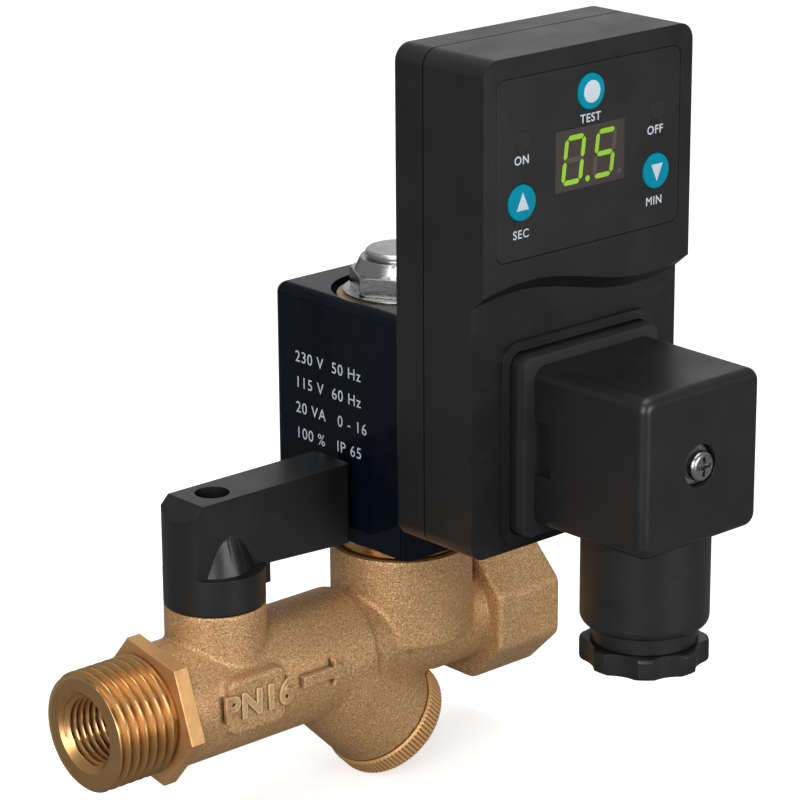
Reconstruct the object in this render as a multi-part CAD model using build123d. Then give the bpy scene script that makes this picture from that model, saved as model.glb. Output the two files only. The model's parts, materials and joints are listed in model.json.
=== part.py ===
from build123d import *
import math
import os

# Timed electronic drain valve: a ball valve, a Y strainer and a direct-acting
# solenoid valve in one cast brass body, with a plug-on digital timer.
# Millimetres. Origin: centre of the inlet face on the flow axis. +X runs along
# the flow to the outlet, +Z up through the solenoid, and the timer faces -Y.

os.makedirs("parts", exist_ok=True)

# --- clearances -------------------------------------------------------------
RUN = 0.05            # radial clearance of a running fit
PLAY = 0.1            # clearance between pieces that are only placed together
LIFT = 0.02           # gap between faces that slide on each other

# --- flow line --------------------------------------------------------------
G_HALF_MAJOR_R = 20.955 / 2
G_HALF_MINOR_R = 18.631 / 2
G_QUARTER_MINOR_R = 11.445 / 2
NIPPLE_LEN = 12.9
HEX_LEN = 2.9
HEX_AF = 22.6
SPIGOT_R = 8.2
SPIGOT_LEN = 5.0
INLET_TAP_LEN = 10.0
INLET_MOUTH_R = 7.1
INLET_BORE_R = 4.2

TUBE_R = 11.0
OUTLET_TUBE_R = 9.6
FLOW_BORE_R = 5.0
BODY_START = NIPPLE_LEN + HEX_LEN

# --- ball valve -------------------------------------------------------------
STEM_X = 28.6
BALL_R = 6.8
BALL_BORE_R = 3.6
SEAT_INSET = 4.9
SEAT_GAP = 0.03
STEM_R = 3.6
STEM_SHOULDER_R = 4.7
STEM_SHOULDER_LEN = 1.2
THRUST_LEN = 0.8
TANG_W = 2.4
TANG_LEN = 7.0
TANG_DEPTH = 2.0
O_RING_D = 1.3
O_RING_PITCH = 2.6
BOSS_R = 8.8
BOSS_TOP = 16.3
HUB_R = 6.0
HUB_LEN = 2.6
STOP_R = 7.2
DRIVE_AF = 5.0
DRIVE_LEN = 7.5
LEVER_TURN = 90.0

# --- lever handle -----------------------------------------------------------
SKIRT_GAP = 0.25
SKIRT_LEN = 6.1
HANDLE_TOP = 35.7
BAR_W = 9.4
BAR_REACH = 27.0
BAR_DEPTH_NEAR = 13.6
BAR_DEPTH_FAR = 14.6
BAR_BEVEL = 3.0
BAR_ROUND = 0.9
CONE_R = 7.0
CONE_TOP_R = 4.6
CONE_LEN = 7.0
LUG_LEN = 4.6
LUG_W = 5.0
LUG_THICK = 1.6
HANDLE_HOLE_R = 3.0
HANDLE_HOLE_DEPTH = 7.2
M3_R = 1.5
M3_HEAD_R = 2.75
M3_HEAD_LEN = 2.2

# --- cast markings carrier --------------------------------------------------
PAD_X = 28.2
PAD_Z = 1.2
PAD_W = 12.4
PAD_H = 9.8
PAD_RISE = 0.8

# --- Y strainer -------------------------------------------------------------
BRANCH_X = 50.9
BRANCH_ANGLE = 45.0
BRANCH_R = 10.85
BRANCH_LEN = 20.7
BRANCH_BORE_R = 8.0
SCREEN_R = 6.4
SCREEN_WALL = 0.4
SCREEN_START = 4.0
SCREEN_SLOTS = 10
CAP_R = 11.3
CAP_LEN = 4.2
CAP_SPIGOT_LEN = 6.0
CAP_RELIEF = 0.6
CAP_DISH_R = 6.5
CAP_DISH_DEPTH = 1.2

# --- solenoid valve ---------------------------------------------------------
TOWER_X = 71.5
TOWER_R = 12.8
TOWER_TOP = 16.6
CHAMBER_R = 8.6
CHAMBER_FLOOR = 5.5
BONNET_THREAD_R = 9.6
BONNET_THREAD_LEN = 7.6
VALVE_SEAT_TOP = 7.6
VALVE_SEAT_R = 3.2
ORIFICE_R = 2.0
FEED_OFFSET = 7.0
FEED_R = 1.8
BONNET_R = 11.4
BONNET_FLANGE_LEN = 2.2
TUBE_OUTER_R = 6.0
TUBE_WALL = 0.5
PLUNGER_R = TUBE_OUTER_R - TUBE_WALL - RUN
PLUNGER_COLLAR_R = 6.6
PLUNGER_COLLAR_LEN = 1.5
PLUNGER_STROKE = 2.0
SEAL_R = 3.4
SEAL_LEN = 2.2
SPRING_WIRE_R = 0.35
SPRING_TURNS = 4
SHADING_R = 3.6
SHADING_D = 0.9

# --- coil -------------------------------------------------------------------
COIL_W = 27.0
COIL_FRONT = -16.6
COIL_REAR = 18.5
COIL_BASE = 19.9
COIL_TOP = 63.4
COIL_ROUND = 2.0
COIL_BORE_GAP = 0.1
WELL_R = 12.0
WELL_DEPTH = 1.6
FRAME_W = 22.0
FRAME_D = 20.0
FRAME_H = 37.0
FRAME_WALL = 2.0
BOBBIN_R = 7.1
BOBBIN_FLANGE_R = 8.9
BOBBIN_FLANGE = 1.0
CORE_STUD_R = 5.9
CORE_STUD_TOP = 70.6
CORE_GROOVE_R = 5.0
NUT_AF = 16.0
NUT_LEN = 3.4
NUT_COLLAR_R = 7.9
NUT_COLLAR_LEN = 2.4
WASHER_R = 9.9
WASHER_LEN = 0.8
TOP_SEAL_R = 11.0

# --- connector stack between coil, timer and plug ---------------------------
DIN_Z = 48.6
DIN_BLOCK_W = 26.0
DIN_BLOCK_END = -23.0
BLADE_W = 6.3
BLADE_T = 0.8
BLADE_SPREAD = 9.0
BLADE_LEN = 9.0
THROUGH_HOLE_R = 2.2

# --- timer case -------------------------------------------------------------
CASE_BOTTOM = 29.9
CASE_BACK = -25.2
CASE_SEAM = -32.4
CASE_LOWER_FRONT = -43.5
CASE_UPPER_FRONT = -46.4
CASE_CORNER = 3.0
CASE_EDGE = 0.8
CASE_WALL = 2.0
SEAM_GROOVE = 0.3
WAVE_UNDERCUT = 2.4
WAVE_RISE = 2.0
WAVE_PERIOD = 54.0
CASE_SCREW_R = 1.3
CASE_SCREW_INSET = 5.0

PANEL_W = 42.0
PANEL_H = 30.0
PANEL_Z = 95.6
PANEL_CORNER = 2.0
PANEL_T = 0.5
PANEL_SIDE = 2.75
PANEL_HEAD = 3.4
PANEL_FOOT = 5.7
BUTTON_R = 3.0
BUTTON_TRAVEL = 0.4
BUTTON_INSET = 5.6
BUTTON_LOW = -5.5
BUTTON_HIGH = 10.3
BUTTON_LIP_R = 3.9
LED_HIGH = 4.8
LED_R = 1.5
WINDOW_W = 15.6
WINDOW_H = 10.2
WINDOW_DROP = -0.4
BOARD_FRONT = -36.6
BOARD_T = 1.6
BOARD_GAP = 1.25
RELAY_W = 15.0
RELAY_H = 20.0
RELAY_T = 7.0
CAPACITOR_W = 16.0
CAPACITOR_H = 6.0
CAPACITOR_T = 6.5
SWITCH_W = 6.0
SWITCH_T = 3.2
SWITCH_KEY_R = 1.7
COMPONENT_GAP = 1.0

# --- plug -------------------------------------------------------------------
RIM_W = 35.0
RIM_WALL = 1.6
RIM_RISE = 1.0
BASE_W = 31.2
BASE_RISE = 2.0
GASKET_T = 2.0
PLUG_W = 27.6
PLUG_SHIFT = 0.6
PLUG_FRONT_W = 27.3
PLUG_FRONT = -72.0
PLUG_ROUND = 2.4
PLUG_WALL = 2.2
PLUG_CAVITY = 17.0
CONTACT_W = 3.4
PRY_SLOT_H = 9.2
PRY_SLOT_D = 3.6
PRY_SLOT_DEEP = 1.4
SCREW_WELL_R = 3.6
SCREW_WELL_DEPTH = 1.6
GLAND_Y = -60.3
GLAND_R = 10.8
GLAND_BASE = 18.6
GLAND_NECK_R = 9.0
GLAND_NECK_END = 15.8
GLAND_THREAD_R = 8.6
GLAND_THREAD_END = 13.4
GLAND_BORE_R = 7.5
GROMMET_LEN = 11.0
CABLE_R = 4.0
GLAND_NUT_BOTTOM = 11.9
GLAND_LOBES = 8
LOBE_CUT_R = 6.0
LOBE_DEPTH = 1.3
GLAND_MOUTH_R = 5.2

PLUG_BACK = CASE_LOWER_FRONT - BASE_RISE - GASKET_T


def cyl(radius, bottom, top, x=0.0, y=0.0):
    """Upright cylinder from bottom to top."""
    return Pos(x, y, (bottom + top) / 2) * Cylinder(radius, top - bottom)


def cyl_x(radius, start, end, y=0.0, z=0.0):
    """Cylinder along X from start to end."""
    return Pos((start + end) / 2, y, z) * Rot(0, 90, 0) * Cylinder(radius, end - start)


def cyl_y(radius, front, back, x=0.0, z=0.0):
    """Cylinder along Y between front (more negative) and back."""
    return Pos(x, (front + back) / 2, z) * Rot(90, 0, 0) * Cylinder(radius, back - front)


def ring(outer, inner, bottom, top, x=0.0, y=0.0):
    """Upright flat ring."""
    return cyl(outer, bottom, top, x, y) - cyl(inner, bottom, top, x, y)


def block(x0, x1, y0, y1, z0, z1):
    """Box from its low corner to its high corner."""
    return Pos((x0 + x1) / 2, (y0 + y1) / 2, (z0 + z1) / 2) * Box(x1 - x0, y1 - y0, z1 - z0)


def facing(width, height, corner, front, back, x, z):
    """Rounded rectangle in XZ, extruded along Y from back to front."""
    plane = Plane((x, back, z), x_dir=(1, 0, 0), z_dir=(0, -1, 0))
    return extrude(plane * RectangleRounded(width, height, corner), back - front)


def hex_x(across_flats, start, end):
    """Hexagonal prism along X with its rims turned to a chamfer."""
    plane = Plane((start, 0, 0), x_dir=(0, 1, 0), z_dir=(1, 0, 0))
    prism = extrude(plane * RegularPolygon(across_flats / math.sqrt(3), 6), end - start)
    corner_r = across_flats / math.sqrt(3)
    turned = chamfer(cyl_x(corner_r, start, end).edges(), 0.5)
    return prism & turned


def branch(radius, start, end):
    """Cylinder on the strainer axis between two distances from the flow axis."""
    place = Pos(BRANCH_X, 0, 0) * Rot(0, 90 + BRANCH_ANGLE, 0)
    return place * Pos(0, 0, (start + end) / 2) * Cylinder(radius, end - start)


def o_ring(radius, z, x=0.0, wire=O_RING_D):
    """O-ring whose outer radius is given, lying flat at z."""
    return Pos(x, 0, z) * Torus(radius - wire / 2, wire / 2)


# --- cast body and inlet ----------------------------------------------------
def make_inlet_fitting():
    shank = cyl_x(G_HALF_MAJOR_R, 0, NIPPLE_LEN) + hex_x(HEX_AF, NIPPLE_LEN, BODY_START)
    shank += cyl_x(SPIGOT_R, BODY_START, BODY_START + SPIGOT_LEN)
    shank -= cyl_x(G_QUARTER_MINOR_R, 0, INLET_TAP_LEN)
    mouth = INLET_MOUTH_R - G_QUARTER_MINOR_R
    shank -= Pos(mouth / 2, 0, 0) * Rot(0, 90, 0) * Cone(INLET_MOUTH_R, G_QUARTER_MINOR_R, mouth)
    return shank - cyl_x(INLET_BORE_R, 0, BODY_START + SPIGOT_LEN)


def octagon_end():
    """Cast octagonal outlet boss with soft edges."""
    plane = Plane((OUTLET_START, 0, 0), x_dir=(0, 1, 0), z_dir=(1, 0, 0))
    corner_r = OUTLET_AF / 2 / math.cos(math.pi / 8)
    profile = plane * Rot(0, 0, 22.5) * RegularPolygon(corner_r, 8)
    prism = extrude(profile, OUTLET_END - OUTLET_START)
    prism = fillet(prism.edges().filter_by(Axis.X), OUTLET_ROUND)
    return fillet(prism.edges().group_by(Axis.X)[0] + prism.edges().group_by(Axis.X)[-1], OUTLET_END_ROUND)


def body_outside():
    shell = cyl_x(TUBE_R, BODY_START, BRANCH_X + TUBE_R / 2)
    shell += cyl_x(OUTLET_TUBE_R, BRANCH_X, OUTLET_START + 2)
    shell += cyl(BOSS_R, 0, BOSS_TOP, STEM_X)
    shell += cyl(TOWER_R, 0.0, TOWER_TOP, TOWER_X)
    shell += branch(BRANCH_R, 0, BRANCH_LEN)
    shell += octagon_end()
    return shell


def cast_pad():
    """Flat raised pad on the front of the tube."""
    front = -(TUBE_R + PAD_RISE)
    return facing(PAD_W, PAD_H, 1.6, front, -TUBE_R * 0.7, PAD_X, PAD_Z)


def stop_sector(inner, outer, bottom, top, start, sweep):
    """Part of a ring between two angles, about the stem axis."""
    plane = Plane((STEM_X, 0, bottom), x_dir=(1, 0, 0), z_dir=(0, 0, 1))
    with BuildSketch(plane) as sketch:
        with BuildLine():
            outer_arc = CenterArc((0, 0), outer, start, sweep)
            inner_arc = CenterArc((0, 0), inner, start, sweep)
            Line(outer_arc @ 0, inner_arc @ 0)
            Line(outer_arc @ 1, inner_arc @ 1)
        make_face()
    return extrude(sketch.sketch, top - bottom)


def make_valve_body():
    body = body_outside() + cast_pad()
    body -= branch(CAP_R + CAP_RELIEF, BRANCH_LEN, BRANCH_LEN + 3 * CAP_LEN)
    body += cyl(HUB_R, BOSS_TOP, BOSS_TOP + HUB_LEN, STEM_X)
    body += stop_sector(HUB_R - 0.5, STOP_R, BOSS_TOP, BOSS_TOP + HUB_LEN, 0, 360 - 2 * LEVER_TURN)
    body -= cyl_x(SPIGOT_R + RUN, BODY_START, CAVITY_END)
    body -= cyl_x(FLOW_BORE_R, CAVITY_END, BRANCH_X + 4)
    body -= cyl(STEM_SHOULDER_R + PLAY, 0, SHOULDER_TOP + THRUST_LEN, STEM_X)
    body -= cyl(STEM_R + RUN, 0, BOSS_TOP + HUB_LEN, STEM_X)
    body -= branch(SCREEN_R + PLAY, 0, BRANCH_LEN)
    body -= branch(BRANCH_BORE_R, SCREEN_START + 2, BRANCH_LEN)
    body -= cyl(CHAMBER_R, CHAMBER_FLOOR, TOWER_TOP, TOWER_X)
    body -= cyl(BONNET_THREAD_R + RUN, TOWER_TOP - BONNET_THREAD_LEN - PLAY, TOWER_TOP, TOWER_X)
    body += cyl(VALVE_SEAT_R, CHAMBER_FLOOR, VALVE_SEAT_TOP, TOWER_X)
    body -= cyl(ORIFICE_R, 0, VALVE_SEAT_TOP, TOWER_X)
    body -= cyl(FEED_R, -BRANCH_BORE_R / 2, CHAMBER_FLOOR, TOWER_X - FEED_OFFSET)
    body -= cyl_x(OUTLET_BORE_R, TOWER_X - OUTLET_BORE_R, OUTLET_END)
    body -= cyl_x(G_HALF_MINOR_R, OUTLET_END - OUTLET_TAP_LEN, OUTLET_END)
    return body


# --- ball valve -------------------------------------------------------------
def ball_sphere(radius):
    """Sphere about the ball's centre, with its poles on the flow axis."""
    return Pos(STEM_X, 0, 0) * Rot(0, 90, 0) * Sphere(radius)


def make_ball():
    ball = ball_sphere(BALL_R)
    ball -= cyl_x(BALL_BORE_R, STEM_X - BALL_R - 1, STEM_X + BALL_R + 1)
    half = TANG_W / 2 + PLAY
    return ball - block(STEM_X - BALL_R, STEM_X + BALL_R, -half, half, BALL_R - TANG_DEPTH, BALL_R)


def make_seat(side, outer_x):
    """PTFE seat ring, dished to the ball."""
    low, high = sorted((STEM_X + side * SEAT_INSET, outer_x))
    seat = cyl_x(SPIGOT_R, low, high) - cyl_x(BALL_BORE_R, low, high)
    return seat - ball_sphere(BALL_R + SEAT_GAP)


def make_stem():
    stem = cyl(STEM_R, SHOULDER_TOP, BOSS_TOP + HUB_LEN, STEM_X)
    stem += cyl(STEM_SHOULDER_R, SHOULDER_TOP - STEM_SHOULDER_LEN, SHOULDER_TOP, STEM_X)
    half = DRIVE_AF / 2
    top = BOSS_TOP + HUB_LEN
    stem += block(STEM_X - half, STEM_X + half, -half, half, top, top + DRIVE_LEN)
    for index in range(2):
        groove_z = STEM_RING_Z + index * O_RING_PITCH
        stem -= ring(STEM_R + 1, STEM_R - O_RING_D, groove_z - O_RING_D / 2, groove_z + O_RING_D / 2, STEM_X)
    tang = cyl(TANG_LEN / 2, BALL_R - TANG_DEPTH + PLAY, SHOULDER_TOP - STEM_SHOULDER_LEN, STEM_X)
    tang &= block(STEM_X - TANG_LEN, STEM_X + TANG_LEN, -TANG_W / 2, TANG_W / 2, 0, BOSS_TOP)
    stem += tang
    return stem - cyl(M3_R, top, top + DRIVE_LEN, STEM_X)


def make_stem_o_rings():
    return [o_ring(STEM_R, STEM_RING_Z + index * O_RING_PITCH, STEM_X) for index in range(2)]


def make_thrust_washer():
    return ring(STEM_SHOULDER_R, STEM_R + LIFT, SHOULDER_TOP + LIFT, SHOULDER_TOP + THRUST_LEN - LIFT, STEM_X)


def handle_bar():
    """Lever bar: rounded about the stem, bevelled at the near end, deeper at the far end."""
    far = STEM_X + BAR_REACH
    near = STEM_X - BOSS_R
    plane = Plane((0, BAR_W / 2, 0), x_dir=(1, 0, 0), z_dir=(0, -1, 0))
    with BuildSketch(plane) as side:
        with BuildLine():
            Polyline(
                (near, HANDLE_TOP - BAR_DEPTH_NEAR),
                (STEM_X + BOSS_R, HANDLE_TOP - BAR_DEPTH_NEAR),
                (far, HANDLE_TOP - BAR_DEPTH_FAR),
                (far, HANDLE_TOP),
                (near + BAR_BEVEL, HANDLE_TOP),
                (near, HANDLE_TOP - BAR_BEVEL),
                close=True,
            )
        make_face()
    bar = extrude(side.sketch, BAR_W)
    reach = cyl(BOSS_R, SKIRT_BOTTOM, HANDLE_TOP, STEM_X)
    reach += block(STEM_X, far, -BAR_W, BAR_W, SKIRT_BOTTOM, HANDLE_TOP)
    bar &= reach
    upright = bar.edges().filter_by(Axis.Z).group_by(Axis.X)[-1]
    return fillet(upright, BAR_ROUND)


def make_handle():
    handle = handle_bar() + cyl(BOSS_R, SKIRT_BOTTOM, SKIRT_BOTTOM + SKIRT_LEN, STEM_X)
    ledge = SKIRT_BOTTOM + SKIRT_LEN
    handle += Pos(STEM_X, 0, ledge + CONE_LEN / 2) * Cone(CONE_R, CONE_TOP_R, CONE_LEN)
    lug_x = STEM_X + BOSS_R
    lug_z = HANDLE_TOP - BAR_DEPTH_NEAR
    handle += block(lug_x - 1, lug_x + LUG_THICK, -LUG_W / 2, LUG_W / 2, lug_z - LUG_LEN, lug_z)
    socket_top = BOSS_TOP + HUB_LEN
    handle -= cyl(STOP_R + PLAY, SKIRT_BOTTOM, socket_top + PLAY, STEM_X)
    handle += stop_sector(HUB_R + PLAY, STOP_R + 0.5, SKIRT_BOTTOM, socket_top + PLAY, 0.5 - LEVER_TURN, LEVER_TURN - 1)
    half = DRIVE_AF / 2 + RUN
    handle -= block(STEM_X - half, STEM_X + half, -half, half, SKIRT_BOTTOM, socket_top + DRIVE_LEN + RUN)
    handle -= cyl(M3_R + PLAY, SKIRT_BOTTOM, HANDLE_TOP, STEM_X)
    return handle - cyl(HANDLE_HOLE_R, HANDLE_TOP - HANDLE_HOLE_DEPTH, HANDLE_TOP, STEM_X)


def make_handle_screw():
    seat = HANDLE_TOP - HANDLE_HOLE_DEPTH
    screw = fillet(cyl(M3_HEAD_R, seat, seat + M3_HEAD_LEN, STEM_X).edges().group_by(Axis.Z)[-1], 0.6)
    screw += cyl(M3_R, BOSS_TOP + HUB_LEN + 0.5, seat, STEM_X)
    return screw - cross_slot(M3_HEAD_R, seat + M3_HEAD_LEN)


def cross_slot(head_r, top):
    """Cross recess on the stem axis, open at the head's top."""
    arm = head_r * 0.65
    slot = block(STEM_X - arm, STEM_X + arm, -0.35, 0.35, top - 1.2, top)
    return slot + block(STEM_X - 0.35, STEM_X + 0.35, -arm, arm, top - 1.2, top)


# --- strainer ---------------------------------------------------------------
def make_strainer_screen():
    end = BRANCH_LEN - PLAY
    screen = branch(SCREEN_R, SCREEN_START, end) - branch(SCREEN_R - SCREEN_WALL, SCREEN_START, end)
    place = Pos(BRANCH_X, 0, 0) * Rot(0, 90 + BRANCH_ANGLE, 0)
    slot_len = (end - SCREEN_START - CAP_SPIGOT_LEN) * 0.7
    middle = SCREEN_START + (end - SCREEN_START - CAP_SPIGOT_LEN) / 2
    for index in range(SCREEN_SLOTS // 2):
        turn = Rot(0, 0, 180 * index / (SCREEN_SLOTS // 2))
        screen -= place * Pos(0, 0, middle) * turn * Box(3 * SCREEN_R, 1.4, slot_len)
    return screen


def make_strainer_cap():
    cap = chamfer(branch(CAP_R, BRANCH_LEN + LIFT, BRANCH_LEN + CAP_LEN).edges(), 0.4)
    cap -= branch(CAP_DISH_R, BRANCH_LEN + CAP_LEN - CAP_DISH_DEPTH, BRANCH_LEN + CAP_LEN)
    cap += branch(BRANCH_BORE_R - RUN, BRANCH_LEN - CAP_SPIGOT_LEN, BRANCH_LEN + 1)
    cap -= branch(SCREEN_R + RUN, BRANCH_LEN - CAP_SPIGOT_LEN, BRANCH_LEN)
    return cap - cap_ring_groove()


def cap_ring_groove():
    start = BRANCH_LEN - CAP_SPIGOT_LEN / 2 - O_RING_D / 2
    return branch(BRANCH_BORE_R + 1, start, start + O_RING_D) - branch(CAP_RING_R, start, start + O_RING_D)


def make_strainer_o_ring():
    place = Pos(BRANCH_X, 0, 0) * Rot(0, 90 + BRANCH_ANGLE, 0)
    wire = BRANCH_BORE_R - RUN - CAP_RING_R - RUN
    return place * Pos(0, 0, BRANCH_LEN - CAP_SPIGOT_LEN / 2) * Torus(CAP_RING_R + RUN + wire / 2, wire / 2)


# --- solenoid valve ---------------------------------------------------------
def make_bonnet():
    top = TOWER_TOP + BONNET_FLANGE_LEN
    bonnet = chamfer(cyl(BONNET_R, TOWER_TOP, top, TOWER_X).edges(), 0.3)
    bonnet += cyl(BONNET_THREAD_R, TOWER_TOP - BONNET_THREAD_LEN, TOWER_TOP, TOWER_X)
    bonnet -= cyl(BONNET_BORE_R, TOWER_TOP - BONNET_THREAD_LEN, TOWER_TOP, TOWER_X)
    return bonnet - cyl(TUBE_OUTER_R, TOWER_TOP, top, TOWER_X)


def make_core_tube():
    tube = cyl(TUBE_OUTER_R, TOWER_TOP - 1, CORE_STUD_BOTTOM, TOWER_X)
    tube += cyl(BONNET_BORE_R, TOWER_TOP - 1, TOWER_TOP, TOWER_X)
    return tube - cyl(TUBE_OUTER_R - TUBE_WALL, TOWER_TOP - 1, CORE_STUD_BOTTOM, TOWER_X)


def make_fixed_core():
    core = cyl(TUBE_OUTER_R - TUBE_WALL, FIXED_CORE_BOTTOM, CORE_STUD_BOTTOM, TOWER_X)
    stud = cyl(CORE_STUD_R, CORE_STUD_BOTTOM, CORE_STUD_TOP, TOWER_X)
    stud = chamfer(stud.edges().group_by(Axis.Z)[-1], 0.4)
    groove_z = CORE_STUD_TOP - 1.0
    stud -= ring(CORE_STUD_R + 1, CORE_GROOVE_R, groove_z - 0.5, groove_z, TOWER_X)
    core += stud
    return core - ring(SHADING_R + SHADING_D, SHADING_R, FIXED_CORE_BOTTOM, FIXED_CORE_BOTTOM + SHADING_D, TOWER_X)


def make_shading_ring():
    return ring(SHADING_R + SHADING_D, SHADING_R, FIXED_CORE_BOTTOM, FIXED_CORE_BOTTOM + SHADING_D, TOWER_X)


def make_plunger():
    bottom = VALVE_SEAT_TOP + LIFT + 0.4
    plunger = chamfer(cyl(PLUNGER_R, bottom, PLUNGER_TOP, TOWER_X).edges().group_by(Axis.Z)[-1], 0.4)
    plunger += cyl(PLUNGER_COLLAR_R, bottom, bottom + PLUNGER_COLLAR_LEN, TOWER_X)
    return plunger - cyl(SEAL_R, bottom, VALVE_SEAT_TOP + LIFT + SEAL_LEN, TOWER_X)


def make_plunger_seal():
    return cyl(SEAL_R, VALVE_SEAT_TOP + LIFT, VALVE_SEAT_TOP + LIFT + SEAL_LEN, TOWER_X)


def make_plunger_spring():
    low = SPRING_SEAT + SPRING_WIRE_R
    high = TOWER_TOP - 1 - SPRING_WIRE_R
    radius = TUBE_OUTER_R
    path = Helix(pitch=(high - low) / SPRING_TURNS, height=high - low, radius=radius)
    start = Plane(path @ 0, x_dir=(0, 0, 1), z_dir=path % 0)
    wire = sweep(start * Circle(SPRING_WIRE_R), path=path, is_frenet=True)
    return Pos(TOWER_X, 0, low) * wire


# --- coil -------------------------------------------------------------------
def make_coil_body():
    half_w = COIL_W / 2
    coil = block(TOWER_X - half_w, TOWER_X + half_w, COIL_FRONT, COIL_REAR, COIL_BASE, COIL_TOP)
    soft = coil.edges().filter_by(Axis.Z) + coil.edges().group_by(Axis.Z)[-1]
    coil = fillet(soft, COIL_ROUND)
    half = DIN_BLOCK_W / 2
    neck = block(TOWER_X - half, TOWER_X + half, DIN_BLOCK_END, COIL_FRONT + 3, DIN_Z - half, DIN_Z + half)
    coil += fillet(neck.edges().filter_by(Axis.Y), 2.0)
    coil -= cyl(TUBE_OUTER_R + COIL_BORE_GAP, COIL_BASE, COIL_TOP, TOWER_X)
    coil -= cyl(WELL_R, COIL_TOP - WELL_DEPTH, COIL_TOP, TOWER_X)
    coil -= Pos(TOWER_X, 0, FRAME_Z) * Box(FRAME_W, FRAME_D, FRAME_H)
    coil -= cyl_y(M3_R + PLAY, DIN_BLOCK_END, COIL_FRONT - 0.5, TOWER_X, DIN_Z)
    for blade in blades(DIN_BLOCK_END, -FRAME_D / 2 + 0.0):
        coil -= blade
    return coil


def make_flux_frame():
    frame = Pos(TOWER_X, 0, FRAME_Z) * Box(FRAME_W, FRAME_D, FRAME_H)
    frame -= Pos(TOWER_X, 0, FRAME_Z) * Box(FRAME_W - 2 * FRAME_WALL, FRAME_D + 1, FRAME_H - 2 * FRAME_WALL)
    return frame - cyl(TUBE_OUTER_R + COIL_BORE_GAP, COIL_BASE, COIL_TOP, TOWER_X)


def make_coil_bobbin():
    low = FRAME_Z - FRAME_H / 2 + FRAME_WALL
    high = FRAME_Z + FRAME_H / 2 - FRAME_WALL
    bobbin = cyl(BOBBIN_R, low, high, TOWER_X)
    bobbin += cyl(BOBBIN_FLANGE_R, low, low + BOBBIN_FLANGE, TOWER_X)
    bobbin += cyl(BOBBIN_FLANGE_R, high - BOBBIN_FLANGE, high, TOWER_X)
    return bobbin - cyl(TUBE_OUTER_R + COIL_BORE_GAP, low, high, TOWER_X)


def make_coil_winding():
    low = FRAME_Z - FRAME_H / 2 + FRAME_WALL + BOBBIN_FLANGE
    high = FRAME_Z + FRAME_H / 2 - FRAME_WALL - BOBBIN_FLANGE
    return ring(BOBBIN_FLANGE_R - 0.3, BOBBIN_R, low, high, TOWER_X)


def blades(front, back):
    """Two live blades either side and an earth blade below the centre screw."""
    half_w, half_t = BLADE_W / 2, BLADE_T / 2
    places = [(-BLADE_SPREAD, 0, True), (BLADE_SPREAD, 0, True), (0, -BLADE_SPREAD, False)]
    for dx, dz, upright in places:
        wide, tall = (half_t, half_w) if upright else (half_w, half_t)
        x, z = TOWER_X + dx, DIN_Z + dz
        yield block(x - wide, x + wide, front, back, z - tall, z + tall)


def make_coil_terminals():
    return list(blades(DIN_BLOCK_END - BLADE_LEN, -FRAME_D / 2))


def make_coil_gasket():
    return ring(BONNET_R - 0.8, TUBE_OUTER_R + PLAY, TOWER_TOP + BONNET_FLANGE_LEN, COIL_BASE, TOWER_X)


def make_coil_top_seal():
    floor = COIL_TOP - WELL_DEPTH
    return ring(TOP_SEAL_R, TUBE_OUTER_R + PLAY, floor, floor + 0.8, TOWER_X)


def make_coil_washer():
    floor = COIL_TOP - WELL_DEPTH + 0.8
    return ring(WASHER_R, TUBE_OUTER_R + PLAY, floor, floor + WASHER_LEN, TOWER_X)


def make_coil_nut():
    plane = Plane((TOWER_X, 0, NUT_BOTTOM), x_dir=(1, 0, 0), z_dir=(0, 0, 1))
    corner_r = NUT_AF / math.sqrt(3)
    nut = extrude(plane * RegularPolygon(corner_r, 6), NUT_LEN)
    nut &= chamfer(cyl(corner_r, NUT_BOTTOM, NUT_BOTTOM + NUT_LEN, TOWER_X).edges(), 0.5)
    collar_z = NUT_BOTTOM + NUT_LEN + NUT_COLLAR_LEN / 2
    nut += Pos(TOWER_X, 0, collar_z) * Cone(NUT_COLLAR_R, CORE_STUD_R + 0.9, NUT_COLLAR_LEN)
    return nut - cyl(CORE_STUD_R, NUT_BOTTOM, CORE_STUD_TOP, TOWER_X)


# --- timer case -------------------------------------------------------------
def case_slab(front, back):
    """Full case outline between two Y planes."""
    middle = (CASE_TOP + CASE_BOTTOM) / 2
    return facing(CASE_W, CASE_TOP - CASE_BOTTOM, CASE_CORNER, front, back, TOWER_X, middle)


def wave_face(y, level):
    """Upper display field seen from the front, with its S-shaped lower edge."""
    half = CASE_W / 2
    steps = 12
    crest = []
    for index in range(steps + 1):
        x = -half + CASE_W * index / steps
        crest.append((x, level - WAVE_RISE * math.sin(2 * math.pi * x / WAVE_PERIOD)))
    plane = Plane((TOWER_X, y, 0), x_dir=(1, 0, 0), z_dir=(0, -1, 0))
    with BuildSketch(plane) as field:
        with BuildLine():
            Spline(*crest)
            Polyline(crest[-1], (half, CASE_TOP), (-half, CASE_TOP), crest[0])
        make_face()
    return field.sketch


def display_block(front, back):
    """Proud upper part of the case: its underside slopes back to the lower front."""
    sloped = loft([wave_face(back, WAVE_Z - WAVE_UNDERCUT), wave_face(front, WAVE_Z)], ruled=True)
    return sloped & case_slab(front, back)


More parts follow.
